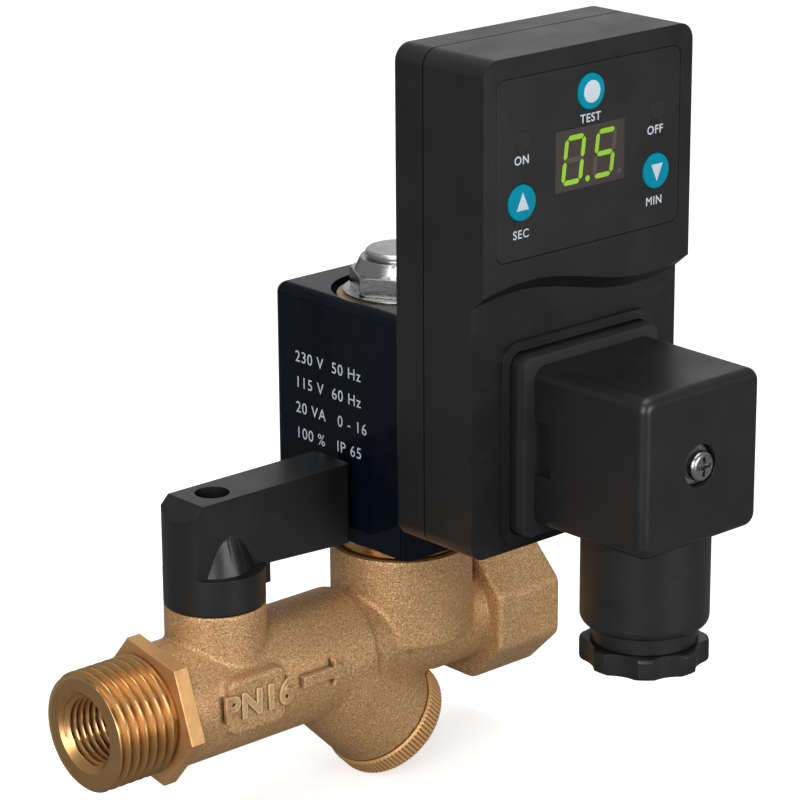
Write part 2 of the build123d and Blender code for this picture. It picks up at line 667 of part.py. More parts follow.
def make_front_shell():
    shell = case_slab(CASE_LOWER_FRONT, CASE_SEAM) + display_block(CASE_UPPER_FRONT, CASE_LOWER_FRONT)
    shell -= case_cavity(CASE_LOWER_FRONT + CASE_WALL, CASE_SEAM)
    upper_z = WAVE_Z + WAVE_RISE + CASE_WALL
    inner_half = CASE_W / 2 - CASE_WALL
    shell -= block(
        TOWER_X - inner_half + 1, TOWER_X + inner_half - 1,
        CASE_UPPER_FRONT + CASE_WALL, CASE_LOWER_FRONT + CASE_WALL + 0.1,
        upper_z, CASE_TOP - CASE_WALL - 1,
    )
    shell += screw_posts(CASE_LOWER_FRONT + CASE_WALL / 2, CASE_SEAM)
    shell -= screw_holes(CASE_SEAM - 7, CASE_SEAM)
    shell += plug_seat()
    shell -= cyl_y(THROUGH_HOLE_R, PLUG_BACK, CASE_SEAM, TOWER_X, DIN_Z)
    for blade in blades(PLUG_BACK, CASE_LOWER_FRONT + CASE_WALL):
        shell -= blade
    shell -= facing(PANEL_W, PANEL_H, PANEL_CORNER, CASE_UPPER_FRONT, CASE_UPPER_FRONT + PANEL_T, TOWER_X, PANEL_Z)
    for x, z in button_places():
        shell -= cyl_y(BUTTON_R + PLAY, CASE_UPPER_FRONT, CASE_UPPER_FRONT + CASE_WALL, x, z)
    for x, z in led_places():
        shell -= cyl_y(LED_R, CASE_UPPER_FRONT, CASE_UPPER_FRONT + CASE_WALL, x, z)
    window_z = PANEL_Z + WINDOW_DROP
    shell -= block(
        TOWER_X - WINDOW_W / 2, TOWER_X + WINDOW_W / 2,
        CASE_UPPER_FRONT, CASE_UPPER_FRONT + CASE_WALL,
        window_z - WINDOW_H / 2, window_z + WINDOW_H / 2,
    )
    return shell


def case_cavity(front, back):
    middle = (CASE_TOP + CASE_BOTTOM) / 2
    height = CASE_TOP - CASE_BOTTOM - 2 * CASE_WALL
    return facing(CASE_W - 2 * CASE_WALL, height, CASE_CORNER - 1, front, back, TOWER_X, middle)


def screw_places():
    half = CASE_W / 2 - CASE_SCREW_INSET
    for x in (TOWER_X - half, TOWER_X + half):
        for z in (CASE_BOTTOM + CASE_SCREW_INSET, CASE_TOP - CASE_SCREW_INSET):
            yield x, z


def screw_posts(front, back):
    return Part() + [cyl_y(CASE_SCREW_R + 1.4, front, back, x, z) for x, z in screw_places()]


def screw_holes(front, back, radius=CASE_SCREW_R):
    return Part() + [cyl_y(radius, front, back, x, z) for x, z in screw_places()]


def plug_seat():
    """Square rim and raised base that carry the plug on the lower front."""
    rim_front = CASE_LOWER_FRONT - RIM_RISE
    rim = facing(RIM_W, RIM_W, 3.4, rim_front, CASE_LOWER_FRONT, TOWER_X, DIN_Z)
    rim -= facing(RIM_W - 2 * RIM_WALL, RIM_W - 2 * RIM_WALL, 2.4, rim_front, CASE_LOWER_FRONT, TOWER_X, DIN_Z)
    base_front = CASE_LOWER_FRONT - BASE_RISE
    return rim + facing(BASE_W, BASE_W, 2.0, base_front, CASE_LOWER_FRONT, TOWER_X, DIN_Z)


def make_rear_shell():
    shell = fillet(case_slab(CASE_SEAM, CASE_BACK).edges().group_by(Axis.Y)[-1], CASE_EDGE)
    shell -= case_cavity(CASE_SEAM, CASE_BACK - CASE_WALL)
    shell += screw_posts(CASE_SEAM, CASE_BACK - CASE_WALL / 2)
    shell -= screw_holes(CASE_SEAM, CASE_BACK)
    shell -= screw_holes(CASE_BACK - 1.6, CASE_BACK, CASE_SCREW_R + 1.2)
    lip = case_slab(CASE_SEAM, CASE_SEAM + SEAM_GROOVE)
    middle = (CASE_TOP + CASE_BOTTOM) / 2
    lip -= facing(
        CASE_W - 2 * SEAM_GROOVE, CASE_TOP - CASE_BOTTOM - 2 * SEAM_GROOVE, CASE_CORNER - SEAM_GROOVE,
        CASE_SEAM, CASE_SEAM + SEAM_GROOVE, TOWER_X, middle,
    )
    shell -= lip
    half = SOCKET_W / 2
    return shell - block(TOWER_X - half, TOWER_X + half, CASE_SEAM, CASE_BACK, DIN_Z - half, DIN_Z + half)


def make_case_screws():
    screws = []
    for x, z in screw_places():
        screw = cyl_y(CASE_SCREW_R + 1.0, CASE_BACK - 1.6, CASE_BACK - 0.2, x, z)
        screws.append(screw + cyl_y(CASE_SCREW_R, CASE_SEAM - 6, CASE_BACK - 1.6, x, z))
    return screws


def button_places():
    yield TOWER_X, PANEL_Z + BUTTON_HIGH
    yield TOWER_X - BUTTON_SPREAD, PANEL_Z + BUTTON_LOW
    yield TOWER_X + BUTTON_SPREAD, PANEL_Z + BUTTON_LOW


def led_places():
    yield TOWER_X - BUTTON_SPREAD, PANEL_Z + LED_HIGH
    yield TOWER_X + BUTTON_SPREAD, PANEL_Z + LED_HIGH


def make_overlay():
    back = CASE_UPPER_FRONT + PANEL_T
    sheet = facing(
        PANEL_W - 2 * PLAY, PANEL_H - 2 * PLAY, PANEL_CORNER - PLAY,
        CASE_UPPER_FRONT, back, TOWER_X, PANEL_Z,
    )
    for x, z in button_places():
        sheet -= cyl_y(BUTTON_R + PLAY, CASE_UPPER_FRONT, back, x, z)
    for x, z in led_places():
        sheet -= cyl_y(LED_R, CASE_UPPER_FRONT, back, x, z)
    window_z = PANEL_Z + WINDOW_DROP
    return sheet - block(
        TOWER_X - WINDOW_W / 2, TOWER_X + WINDOW_W / 2, CASE_UPPER_FRONT, back,
        window_z - WINDOW_H / 2, window_z + WINDOW_H / 2,
    )


def make_window():
    window_z = PANEL_Z + WINDOW_DROP
    return block(
        TOWER_X - WINDOW_W / 2, TOWER_X + WINDOW_W / 2,
        CASE_UPPER_FRONT, CASE_UPPER_FRONT + 1.2,
        window_z - WINDOW_H / 2, window_z + WINDOW_H / 2,
    )


def make_display_module():
    window_z = PANEL_Z + WINDOW_DROP
    half_w, half_h = WINDOW_W / 2 - PLAY, WINDOW_H / 2 - PLAY
    front = CASE_UPPER_FRONT + 1.2 + PLAY
    return block(TOWER_X - half_w, TOWER_X + half_w, front, BOARD_FRONT, window_z - half_h, window_z + half_h)


def make_indicator_lenses():
    return [cyl_y(LED_R, CASE_UPPER_FRONT, BOARD_FRONT, x, z) for x, z in led_places()]


def make_button(index):
    x, z = list(button_places())[index]
    cap = chamfer(cyl_y(BUTTON_R, CASE_UPPER_FRONT - BUTTON_PROUD, LIP_FRONT, x, z).edges().group_by(Axis.Y)[0], 0.15)
    lip_back = SWITCH_FRONT - BUTTON_TRAVEL - PLAY
    return cap + cyl_y(BUTTON_LIP_R, LIP_FRONT, lip_back, x, z)


def make_tact_switches():
    switches = []
    for x, z in button_places():
        half, back = SWITCH_W / 2, BOARD_FRONT - SWITCH_T
        case = block(x - half, x + half, back, BOARD_FRONT, z - half, z + half)
        switches.append(case + cyl_y(SWITCH_KEY_R, SWITCH_FRONT, back, x, z))
    return switches


def make_timer_board():
    middle = (CASE_TOP + CASE_BOTTOM) / 2
    board = facing(BOARD_W, BOARD_H, 1.0, BOARD_FRONT, BOARD_FRONT + BOARD_T, TOWER_X, middle)
    board -= Part() + [cyl_y(CASE_SCREW_R + 1.5, BOARD_FRONT, BOARD_FRONT + BOARD_T, x, z) for x, z in screw_places()]
    half = SOCKET_W / 2 + PLAY
    return board - block(
        TOWER_X - half, TOWER_X + half, BOARD_FRONT, BOARD_FRONT + BOARD_T, DIN_Z - half, DIN_Z + half,
    )


def make_timer_relay():
    back = BOARD_FRONT + BOARD_T
    left, low = TOWER_X - COMPONENT_GAP - RELAY_W, PANEL_Z - RELAY_H * 0.6
    return block(left, left + RELAY_W, back, back + RELAY_T, low, low + RELAY_H)


def make_timer_capacitor():
    back = BOARD_FRONT + BOARD_T
    left, low = TOWER_X + COMPONENT_GAP, PANEL_Z - RELAY_H / 2
    return block(left, left + CAPACITOR_W, back, back + CAPACITOR_T, low, low + CAPACITOR_H)


def make_timer_socket():
    """Contact block that takes the coil's blades and carries the plug's."""
    half = SOCKET_W / 2 - PLAY
    front = CASE_LOWER_FRONT + CASE_WALL
    socket = block(TOWER_X - half, TOWER_X + half, front, CASE_BACK, DIN_Z - half, DIN_Z + half)
    for blade in blades(DIN_BLOCK_END - BLADE_LEN, CASE_BACK):
        socket -= blade
    for blade in blades(front, CASE_SEAM - 3):
        socket -= blade
    return socket - cyl_y(THROUGH_HOLE_R, front, CASE_BACK, TOWER_X, DIN_Z)


def make_timer_pins():
    return list(blades(PLUG_BACK - BLADE_LEN + 2, CASE_SEAM - 3))


def make_connector_gasket():
    gasket = facing(DIN_BLOCK_W, DIN_BLOCK_W, 2.0, CASE_BACK, DIN_BLOCK_END, TOWER_X, DIN_Z)
    gasket -= cyl_y(M3_R + PLAY, CASE_BACK, DIN_BLOCK_END, TOWER_X, DIN_Z)
    for blade in blades(CASE_BACK, DIN_BLOCK_END):
        gasket -= blade
    return gasket


# --- plug -------------------------------------------------------------------
def make_plug_gasket():
    back = CASE_LOWER_FRONT - BASE_RISE
    gasket = facing(BASE_W - 0.2, BASE_W - 0.2, 2.0, PLUG_BACK, back, TOWER_X, DIN_Z)
    gasket -= cyl_y(THROUGH_HOLE_R, PLUG_BACK, back, TOWER_X, DIN_Z)
    for blade in blades(PLUG_BACK, back):
        gasket -= blade
    return gasket


def plug_section(y, width):
    plane = Plane((TOWER_X + PLUG_SHIFT, y, DIN_Z), x_dir=(1, 0, 0), z_dir=(0, -1, 0))
    return plane * RectangleRounded(width, width, PLUG_ROUND)


def make_plug_housing():
    shell = loft([plug_section(PLUG_BACK, PLUG_W), plug_section(PLUG_FRONT, PLUG_FRONT_W)])
    shell = fillet(shell.edges().group_by(Axis.Y)[0], PLUG_ROUND * 0.7)
    skirt = cyl(GLAND_R, GLAND_BASE, DIN_Z - PLUG_FRONT_W / 2 + 3, TOWER_X, GLAND_Y)
    shell += fillet(skirt.edges().group_by(Axis.Z)[0], 1.6)
    shell += cyl(GLAND_NECK_R, GLAND_NECK_END, GLAND_BASE + 1, TOWER_X, GLAND_Y)
    shell += cyl(GLAND_THREAD_R, GLAND_THREAD_END, GLAND_NECK_END, TOWER_X, GLAND_Y)
    half = PLUG_FRONT_W / 2 - PLUG_WALL
    shell -= block(
        TOWER_X - half, TOWER_X + half, PLUG_BACK - PLUG_CAVITY, PLUG_BACK, DIN_Z - half, DIN_Z + half,
    )
    shell -= cyl(GLAND_BORE_R, GLAND_THREAD_END, GLAND_THREAD_END + GROMMET_LEN, TOWER_X, GLAND_Y)
    shell -= cyl(CABLE_R + 1, GLAND_THREAD_END, DIN_Z, TOWER_X, GLAND_Y + 2)
    shell -= cyl_y(SCREW_WELL_R, PLUG_FRONT, PLUG_FRONT + SCREW_WELL_DEPTH, TOWER_X, DIN_Z)
    shell -= cyl_y(M3_R + PLAY, PLUG_FRONT, PLUG_BACK, TOWER_X, DIN_Z)
    for side in (-1, 1):
        face = TOWER_X + PLUG_SHIFT + side * PLUG_W / 2
        shell -= block(
            face - PRY_SLOT_DEEP, face + PRY_SLOT_DEEP, PLUG_BACK - PRY_SLOT_D, PLUG_BACK,
            DIN_Z - PRY_SLOT_H / 2, DIN_Z + PRY_SLOT_H / 2,
        )
    return shell


def make_terminal_block():
    half = PLUG_FRONT_W / 2 - PLUG_WALL - PLAY
    block_front = PLUG_BACK - PLUG_CAVITY + 6
    core = block(TOWER_X - half, TOWER_X + half, block_front, PLUG_BACK, DIN_Z - half, DIN_Z + half)
    for blade in blades(PLUG_BACK - BLADE_LEN + 2, PLUG_BACK):
        core -= blade
    for x, z in contact_places():
        half_c = CONTACT_W / 2 + LIFT
        core -= block(x - half_c, x + half_c, block_front, PLUG_BACK - BLADE_LEN + 2, z - half_c, z + half_c)
    return core - cyl_y(M3_R + PLAY, block_front, PLUG_BACK, TOWER_X, DIN_Z)


def contact_places():
    return [(TOWER_X - BLADE_SPREAD, DIN_Z), (TOWER_X + BLADE_SPREAD, DIN_Z), (TOWER_X, DIN_Z - BLADE_SPREAD)]


def make_plug_contacts():
    front = PLUG_BACK - PLUG_CAVITY + 4
    back = PLUG_BACK - BLADE_LEN + 2
    contacts = []
    for x, z in contact_places():
        half = CONTACT_W / 2
        clamp = block(x - half, x + half, front, back, z - half, z + half)
        contacts.append(clamp - cyl_y(1.1, front, front + 3, x, z))
    return contacts


def make_plug_screw():
    seat = PLUG_FRONT + SCREW_WELL_DEPTH - 0.5
    head = cyl_y(M3_HEAD_R - 0.2, seat - 2.0, seat, TOWER_X, DIN_Z)
    head = fillet(head.edges().group_by(Axis.Y)[0], 0.8)
    arm = M3_HEAD_R * 0.6
    head -= block(TOWER_X - arm, TOWER_X + arm, seat - 2.0, seat - 0.8, DIN_Z - 0.35, DIN_Z + 0.35)
    head -= block(TOWER_X - 0.35, TOWER_X + 0.35, seat - 2.0, seat - 0.8, DIN_Z - arm, DIN_Z + arm)
    return head + cyl_y(M3_R, seat, COIL_FRONT - 0.5, TOWER_X, DIN_Z)


def make_plug_screw_washer():
    floor = PLUG_FRONT + SCREW_WELL_DEPTH
    washer = cyl_y(SCREW_WELL_R - 0.2, floor - 0.5, floor, TOWER_X, DIN_Z)
    return washer - cyl_y(M3_R + LIFT, floor - 0.5, floor, TOWER_X, DIN_Z)


def make_gland_grommet():
    bottom = GLAND_THREAD_END + 0.4
    return ring(GLAND_BORE_R - RUN, CABLE_R, bottom, bottom + GROMMET_LEN - 0.6, TOWER_X, GLAND_Y)


def make_gland_washer():
    top = GLAND_THREAD_END + 0.35
    return ring(GLAND_BORE_R - RUN, CABLE_R + 0.4, top - 0.9, top, TOWER_X, GLAND_Y)


def make_gland_nut():
    top = GLAND_NECK_END - PLAY
    nut = cyl(GLAND_R, GLAND_NUT_BOTTOM, top, TOWER_X, GLAND_Y)
    nut = fillet(nut.edges(), 0.7)
    cut_at = GLAND_R + LOBE_CUT_R - LOBE_DEPTH
    for index in range(GLAND_LOBES):
        angle = 2 * math.pi * (index + 0.5) / GLAND_LOBES
        nut -= cyl(
            LOBE_CUT_R, GLAND_NUT_BOTTOM, top,
            TOWER_X + cut_at * math.cos(angle), GLAND_Y + cut_at * math.sin(angle),
        )
    floor = GLAND_THREAD_END - 0.7
    nut -= cyl(GLAND_THREAD_R + RUN, floor, top, TOWER_X, GLAND_Y)
    return nut - cyl(GLAND_MOUTH_R, GLAND_NUT_BOTTOM, floor, TOWER_X, GLAND_Y)


# --- sizes worked out from the ones above -----------------------------------
CASE_W = PANEL_W + 2 * PANEL_SIDE
CASE_TOP = PANEL_Z + PANEL_H / 2 + PANEL_HEAD
WAVE_Z = PANEL_Z - PANEL_H / 2 - PANEL_FOOT
BUTTON_SPREAD = PANEL_W / 2 - BUTTON_INSET
BOARD_W = CASE_W - 2 * (CASE_WALL + BOARD_GAP)
BOARD_H = CASE_TOP - CASE_BOTTOM - 2 * (CASE_WALL + BOARD_GAP)
CAVITY_END = 2 * STEM_X - BODY_START - SPIGOT_LEN
SHOULDER_TOP = BALL_R + STEM_SHOULDER_LEN + 0.4
STEM_RING_Z = SHOULDER_TOP + THRUST_LEN + 1.8
SKIRT_BOTTOM = BOSS_TOP + SKIRT_GAP
CAP_RING_R = BRANCH_BORE_R - RUN - 1.1
OUTLET_AF = 25.4
OUTLET_ROUND = 2.6
OUTLET_END_ROUND = 0.8
OUTLET_START = 84.0
OUTLET_END = 99.2
OUTLET_TAP_LEN = 12.0
OUTLET_BORE_R = 3.5
BONNET_BORE_R = 7.9
CORE_STUD_BOTTOM = COIL_TOP - WELL_DEPTH
PLUNGER_TOP = 44.0
FIXED_CORE_BOTTOM = PLUNGER_TOP + PLUNGER_STROKE + LIFT
SPRING_SEAT = VALVE_SEAT_TOP + LIFT + 0.4 + PLUNGER_COLLAR_LEN
FRAME_Z = (COIL_BASE + COIL_TOP - WELL_DEPTH) / 2
NUT_BOTTOM = COIL_TOP - WELL_DEPTH + 0.8 + WASHER_LEN
SOCKET_W = 23.0
BUTTON_PROUD = 0.3
LIP_FRONT = CASE_UPPER_FRONT + CASE_WALL + PLAY
SWITCH_FRONT = BOARD_FRONT - 4.4

PARTS = {
    "valve_body": make_valve_body,
    "inlet_fitting": make_inlet_fitting,
    "ball": make_ball,
    "seat_inlet": lambda: make_seat(-1, BODY_START + SPIGOT_LEN),
    "seat_outlet": lambda: make_seat(1, CAVITY_END),
    "stem": make_stem,
    "stem_o_rings": make_stem_o_rings,
    "stem_thrust_washer": make_thrust_washer,
    "handle": make_handle,
    "handle_screw": make_handle_screw,
    "strainer_screen": make_strainer_screen,
    "strainer_cap": make_strainer_cap,
    "strainer_o_ring": make_strainer_o_ring,
    "bonnet": make_bonnet,
    "core_tube": make_core_tube,
    "fixed_core": make_fixed_core,
    "shading_ring": make_shading_ring,
    "plunger": make_plunger,
    "plunger_seal": make_plunger_seal,
    "plunger_spring": make_plunger_spring,
    "coil_body": make_coil_body,
    "flux_frame": make_flux_frame,
    "coil_bobbin": make_coil_bobbin,
    "coil_winding": make_coil_winding,
    "coil_terminals": make_coil_terminals,
    "coil_gasket": make_coil_gasket,
    "coil_top_seal": make_coil_top_seal,
    "coil_washer": make_coil_washer,
    "coil_nut": make_coil_nut,
    "connector_gasket": make_connector_gasket,
    "timer_rear_shell": make_rear_shell,
    "timer_front_shell": make_front_shell,
    "timer_case_screws": make_case_screws,
    "timer_overlay": make_overlay,
    "display_window": make_window,
    "display_module": make_display_module,
    "indicator_lenses": make_indicator_lenses,
    "button_test": lambda: make_button(0),
    "button_up": lambda: make_button(1),
    "button_down": lambda: make_button(2),
    "tact_switches": make_tact_switches,
    "timer_board": make_timer_board,
    "timer_relay": make_timer_relay,
    "timer_capacitor": make_timer_capacitor,
    "timer_socket": make_timer_socket,
    "timer_pins": make_timer_pins,
    "plug_gasket": make_plug_gasket,
    "plug_housing": make_plug_housing,
    "plug_terminal_block": make_terminal_block,
    "plug_contacts": make_plug_contacts,
    "plug_screw": make_plug_screw,
    "plug_screw_washer": make_plug_screw_washer,
    "gland_grommet": make_gland_grommet,
    "gland_washer": make_gland_washer,
    "gland_nut": make_gland_nut,
}

for name, make in PARTS.items():
    shape = make()
    if isinstance(shape, list):
        shape = Compound(children=[Solid(piece.solid().wrapped) for piece in shape])
    export_step(shape, f"parts/{name}.step")
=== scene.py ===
"""Timed electronic drain valve: finish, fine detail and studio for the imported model."""
import bmesh
import bpy
import json
import math
import numpy as np
from mathutils import Matrix, Vector

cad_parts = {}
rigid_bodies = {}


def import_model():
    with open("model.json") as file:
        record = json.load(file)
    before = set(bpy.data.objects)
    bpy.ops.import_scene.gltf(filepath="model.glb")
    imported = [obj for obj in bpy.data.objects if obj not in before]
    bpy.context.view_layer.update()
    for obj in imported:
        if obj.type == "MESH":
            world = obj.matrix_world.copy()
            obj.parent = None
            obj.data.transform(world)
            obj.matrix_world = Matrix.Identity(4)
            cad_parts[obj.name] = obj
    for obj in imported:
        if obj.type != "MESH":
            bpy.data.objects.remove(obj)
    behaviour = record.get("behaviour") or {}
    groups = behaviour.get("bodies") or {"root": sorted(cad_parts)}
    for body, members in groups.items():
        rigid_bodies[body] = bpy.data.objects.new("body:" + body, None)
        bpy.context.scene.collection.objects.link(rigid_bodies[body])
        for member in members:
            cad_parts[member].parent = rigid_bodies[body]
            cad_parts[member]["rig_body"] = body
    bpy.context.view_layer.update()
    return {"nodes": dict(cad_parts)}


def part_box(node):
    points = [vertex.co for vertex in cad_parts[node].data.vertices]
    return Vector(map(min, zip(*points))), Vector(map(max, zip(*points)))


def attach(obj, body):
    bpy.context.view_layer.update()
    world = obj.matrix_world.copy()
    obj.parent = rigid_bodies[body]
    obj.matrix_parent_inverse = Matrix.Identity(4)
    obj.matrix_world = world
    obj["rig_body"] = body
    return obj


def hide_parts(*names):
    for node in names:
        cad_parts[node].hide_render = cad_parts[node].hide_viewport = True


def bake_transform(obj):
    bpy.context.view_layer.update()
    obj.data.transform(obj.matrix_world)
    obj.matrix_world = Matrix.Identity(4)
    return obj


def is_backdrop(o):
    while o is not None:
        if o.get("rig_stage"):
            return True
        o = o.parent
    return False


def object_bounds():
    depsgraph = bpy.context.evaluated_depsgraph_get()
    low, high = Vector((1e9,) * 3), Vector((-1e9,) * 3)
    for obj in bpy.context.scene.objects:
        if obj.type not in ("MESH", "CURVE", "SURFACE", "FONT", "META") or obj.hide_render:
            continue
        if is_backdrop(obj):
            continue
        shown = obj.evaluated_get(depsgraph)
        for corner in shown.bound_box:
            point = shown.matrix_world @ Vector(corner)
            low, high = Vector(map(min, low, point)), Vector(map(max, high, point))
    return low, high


bl_info = {
    "name": "Drain valve dressing",
    "version": (1, 0, 0),
    "blender": (4, 5, 0),
    "location": "3D View > Sidebar > Drain valve",
    "description": "Builds the finish and fine detail of a timed drain valve on its frame",
    "category": "Object",
}

MM = 0.001
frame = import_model()
NODES = frame["nodes"]

PAD_CENTRE = (28.2 * MM, -11.8 * MM, 1.2 * MM)
CAP_AXIS_X = 50.9 * MM
OUTLET_TAP_LENGTH = 12 * MM
INLET_MOUTH_FLARE = 1.45 * MM
INLET_CREST_CUT = 0.45 * MM
INLET_TAP_LENGTH = 10 * MM
INLET_BORE_R = 4.2 * MM
SPIGOT_R = 8.2 * MM
HEX_LENGTH = 2.9 * MM
HEX_FLAT = 11.3 * MM
HEX_TURN = math.radians(10)
HEX_WEAR = 0.16 * MM
CAP_THREAD_PITCH = 1.5 * MM
KNURL_STEPS = 6
FLOOR_GAP = 0.6 * MM


# --- settings -----------------------------------------------------------------
class ThreadSettings(bpy.types.PropertyGroup):
    half_major: bpy.props.FloatProperty(
        name="Half-inch crest radius", description="Crest radius of the half-inch pipe thread",
        default=10.4775 * MM, unit="LENGTH")
    half_pitch: bpy.props.FloatProperty(
        name="Half-inch pitch", description="Pitch of the half-inch pipe thread",
        default=1.814 * MM, unit="LENGTH")
    quarter_minor: bpy.props.FloatProperty(
        name="Quarter-inch crest radius", description="Bore radius at the crests of the quarter-inch thread",
        default=5.7225 * MM, unit="LENGTH")
    quarter_pitch: bpy.props.FloatProperty(
        name="Quarter-inch pitch", description="Pitch of the quarter-inch pipe thread",
        default=1.337 * MM, unit="LENGTH")
    half_depth: bpy.props.FloatProperty(
        name="Half-inch depth", description="Height of the half-inch thread form",
        default=1.162 * MM, unit="LENGTH")
    quarter_depth: bpy.props.FloatProperty(
        name="Quarter-inch depth", description="Height of the quarter-inch thread form",
        default=0.856 * MM, unit="LENGTH")


class CastSettings(bpy.types.PropertyGroup):
    voxel: bpy.props.FloatProperty(
        name="Skin voxel", description="Grid size of the cast skin", default=0.36 * MM, unit="LENGTH")
    soften: bpy.props.IntProperty(
        name="Soften rounds", description="Smoothing rounds that round the cast joints", default=10)
    word_rise: bpy.props.FloatProperty(
        name="Raised mark height", description="Height of the cast words and arrow",
        default=0.6 * MM, unit="LENGTH")
    knurls: bpy.props.IntProperty(
        name="Knurl count", description="Grooves round the strainer cap", default=88)


class ColourSettings(bpy.types.PropertyGroup):
    cast: bpy.props.FloatVectorProperty(
        name="Cast brass", description="Sand-cast brass colour", subtype="COLOR", size=3,
        default=(0.545, 0.308, 0.129))
    turned: bpy.props.FloatVectorProperty(
        name="Turned brass", description="Machined brass colour", subtype="COLOR", size=3,
        default=(0.70, 0.405, 0.165))
    case: bpy.props.FloatVectorProperty(
        name="Case black", description="Timer case plastic", subtype="COLOR", size=3,
        default=(0.0085, 0.0085, 0.0085))
    teal: bpy.props.FloatVectorProperty(
        name="Key teal", description="Colour of the keys", subtype="COLOR", size=3,
        default=(0.0, 0.22, 0.32))
    lime: bpy.props.FloatVectorProperty(
        name="Digit lime", description="Lit display segments", subtype="COLOR", size=3,
        default=(0.22, 0.43, 0.015))


class StudioSettings(bpy.types.PropertyGroup):
    lens: bpy.props.FloatProperty(
        name="Lens", description="Focal length in millimetres", default=146.96)
    place: bpy.props.FloatVectorProperty(
        name="Camera place", description="Where the camera stands, from the inlet face centre",
        default=(-0.29559, -0.40860, 0.22151), size=3, subtype="TRANSLATION")
    shift: bpy.props.FloatVectorProperty(
        name="Lens shift", description="Shift of the picture, in picture widths", default=(0.0126, -0.0143), size=2)
    azimuth: bpy.props.FloatProperty(
        name="Azimuth", description="Viewing direction round the upright axis",
        default=math.radians(-41.75), subtype="ANGLE")
    elevation: bpy.props.FloatProperty(
        name="Elevation", description="Viewing height angle", default=math.radians(17.84), subtype="ANGLE")
    roll: bpy.props.FloatProperty(
        name="Roll", description="Camera roll", default=math.radians(-0.43), subtype="ANGLE")


# --- shader building ------------------------------------------------------------
def new_group(name, inputs, outputs):
    """Empty shader group with named sockets; inputs is (name, kind, default)."""
    group = bpy.data.node_groups.new(name, "ShaderNodeTree")
    for label, kind, default in inputs:
        socket = group.interface.new_socket(name=label, in_out="INPUT", socket_type=kind)
        socket.default_value = default
    for label, kind in outputs:
        group.interface.new_socket(name=label, in_out="OUTPUT", socket_type=kind)
    group_in = group.nodes.new("NodeGroupInput")
    group_out = group.nodes.new("NodeGroupOutput")
    return group, group_in, group_out


def feed(tree, socket, value):
    """Links a socket to another one, or sets its constant."""
    if isinstance(value, bpy.types.NodeSocket):
        tree.links.new(value, socket)
    else:
        socket.default_value = value


def noise(tree, scale, detail, rough, vector):
    node = tree.nodes.new("ShaderNodeTexNoise")
    node.inputs["Detail"].default_value = detail
    node.inputs["Roughness"].default_value = rough
    feed(tree, node.inputs["Scale"], scale)
    tree.links.new(vector, node.inputs["Vector"])
    return node.outputs["Fac"]


def spread(tree, value, low, high, to_low=0.0, to_high=1.0):
    """Remaps a value from one range to another, clamped."""
    node = tree.nodes.new("ShaderNodeMapRange")
    tree.links.new(value, node.inputs["Value"])
    for label, number in (("From Min", low), ("From Max", high), ("To Min", to_low), ("To Max", to_high)):
        feed(tree, node.inputs[label], number)
    return node.outputs["Result"]


def blend_colour(tree, factor, first, second):
    node = tree.nodes.new("ShaderNodeMix")
    node.data_type = "RGBA"
    for index, value in ((0, factor), (6, first), (7, second)):
        feed(tree, node.inputs[index], value)
    return node.outputs[2]


def arithmetic(tree, operation, first, second):
    node = tree.nodes.new("ShaderNodeMath")
    node.operation = operation
    feed(tree, node.inputs[0], first)
    feed(tree, node.inputs[1], second)
    return node.outputs[0]


def scaled_coordinates(tree, scale):
    place = tree.nodes.new("ShaderNodeTexCoord")
    mapping = tree.nodes.new("ShaderNodeMapping")
    mapping.inputs["Scale"].default_value = scale
    tree.links.new(place.outputs["Object"], mapping.inputs["Vector"])
    return mapping.outputs["Vector"]


def make_grain_group():
    """Sandy grain of a casting: speckled colour, uneven gloss and fine pits."""
    group, inside, out = new_group(
        "cast_grain",
        [("Colour", "NodeSocketColor", (0.5, 0.3, 0.15, 1)), ("Speckle", "NodeSocketFloat", 0.5),
         ("Grain Scale", "NodeSocketFloat", 2600.0), ("Gloss", "NodeSocketFloat", 0.5)],
        [("Colour", "NodeSocketColor"), ("Roughness", "NodeSocketFloat"), ("Height", "NodeSocketFloat")])
    where = scaled_coordinates(group, (1, 1, 1))
    sand = noise(group, inside.outputs["Grain Scale"], 3.0, 0.65, where)
    pits = noise(group, arithmetic(group, "MULTIPLY", inside.outputs["Grain Scale"], 0.42), 2.0, 0.5, where)
    blotch = noise(group, 70.0, 4.0, 0.6, where)
    bright = arithmetic(group, "MULTIPLY", spread(group, sand, 0.52, 0.70), inside.outputs["Speckle"])
    lit = blend_colour(group, bright, inside.outputs["Colour"], (1.0, 0.80, 0.52, 1))
    deep = arithmetic(group, "MULTIPLY", spread(group, sand, 0.48, 0.30), inside.outputs["Speckle"])
    shaded = blend_colour(group, deep, lit, (0.085, 0.042, 0.018, 1))
    hollow = arithmetic(group, "MULTIPLY", spread(group, pits, 0.42, 0.26), 0.35)
    pitted = blend_colour(group, hollow, shaded, (0.12, 0.06, 0.025, 1))
    toned = blend_colour(group, spread(group, blotch, 0.45, 0.75, 0.0, 0.28), pitted, (0.34, 0.19, 0.09, 1))
    gloss = spread(group, sand, 0.3, 0.7, 0.12, -0.12)
    group.links.new(toned, out.inputs["Colour"])
    group.links.new(arithmetic(group, "ADD", inside.outputs["Gloss"], gloss), out.inputs["Roughness"])
    fine = arithmetic(group, "MULTIPLY", sand, 0.7)
    broad = arithmetic(group, "MULTIPLY", pits, 0.8)
    group.links.new(arithmetic(group, "ADD", fine, broad), out.inputs["Height"])
    return group


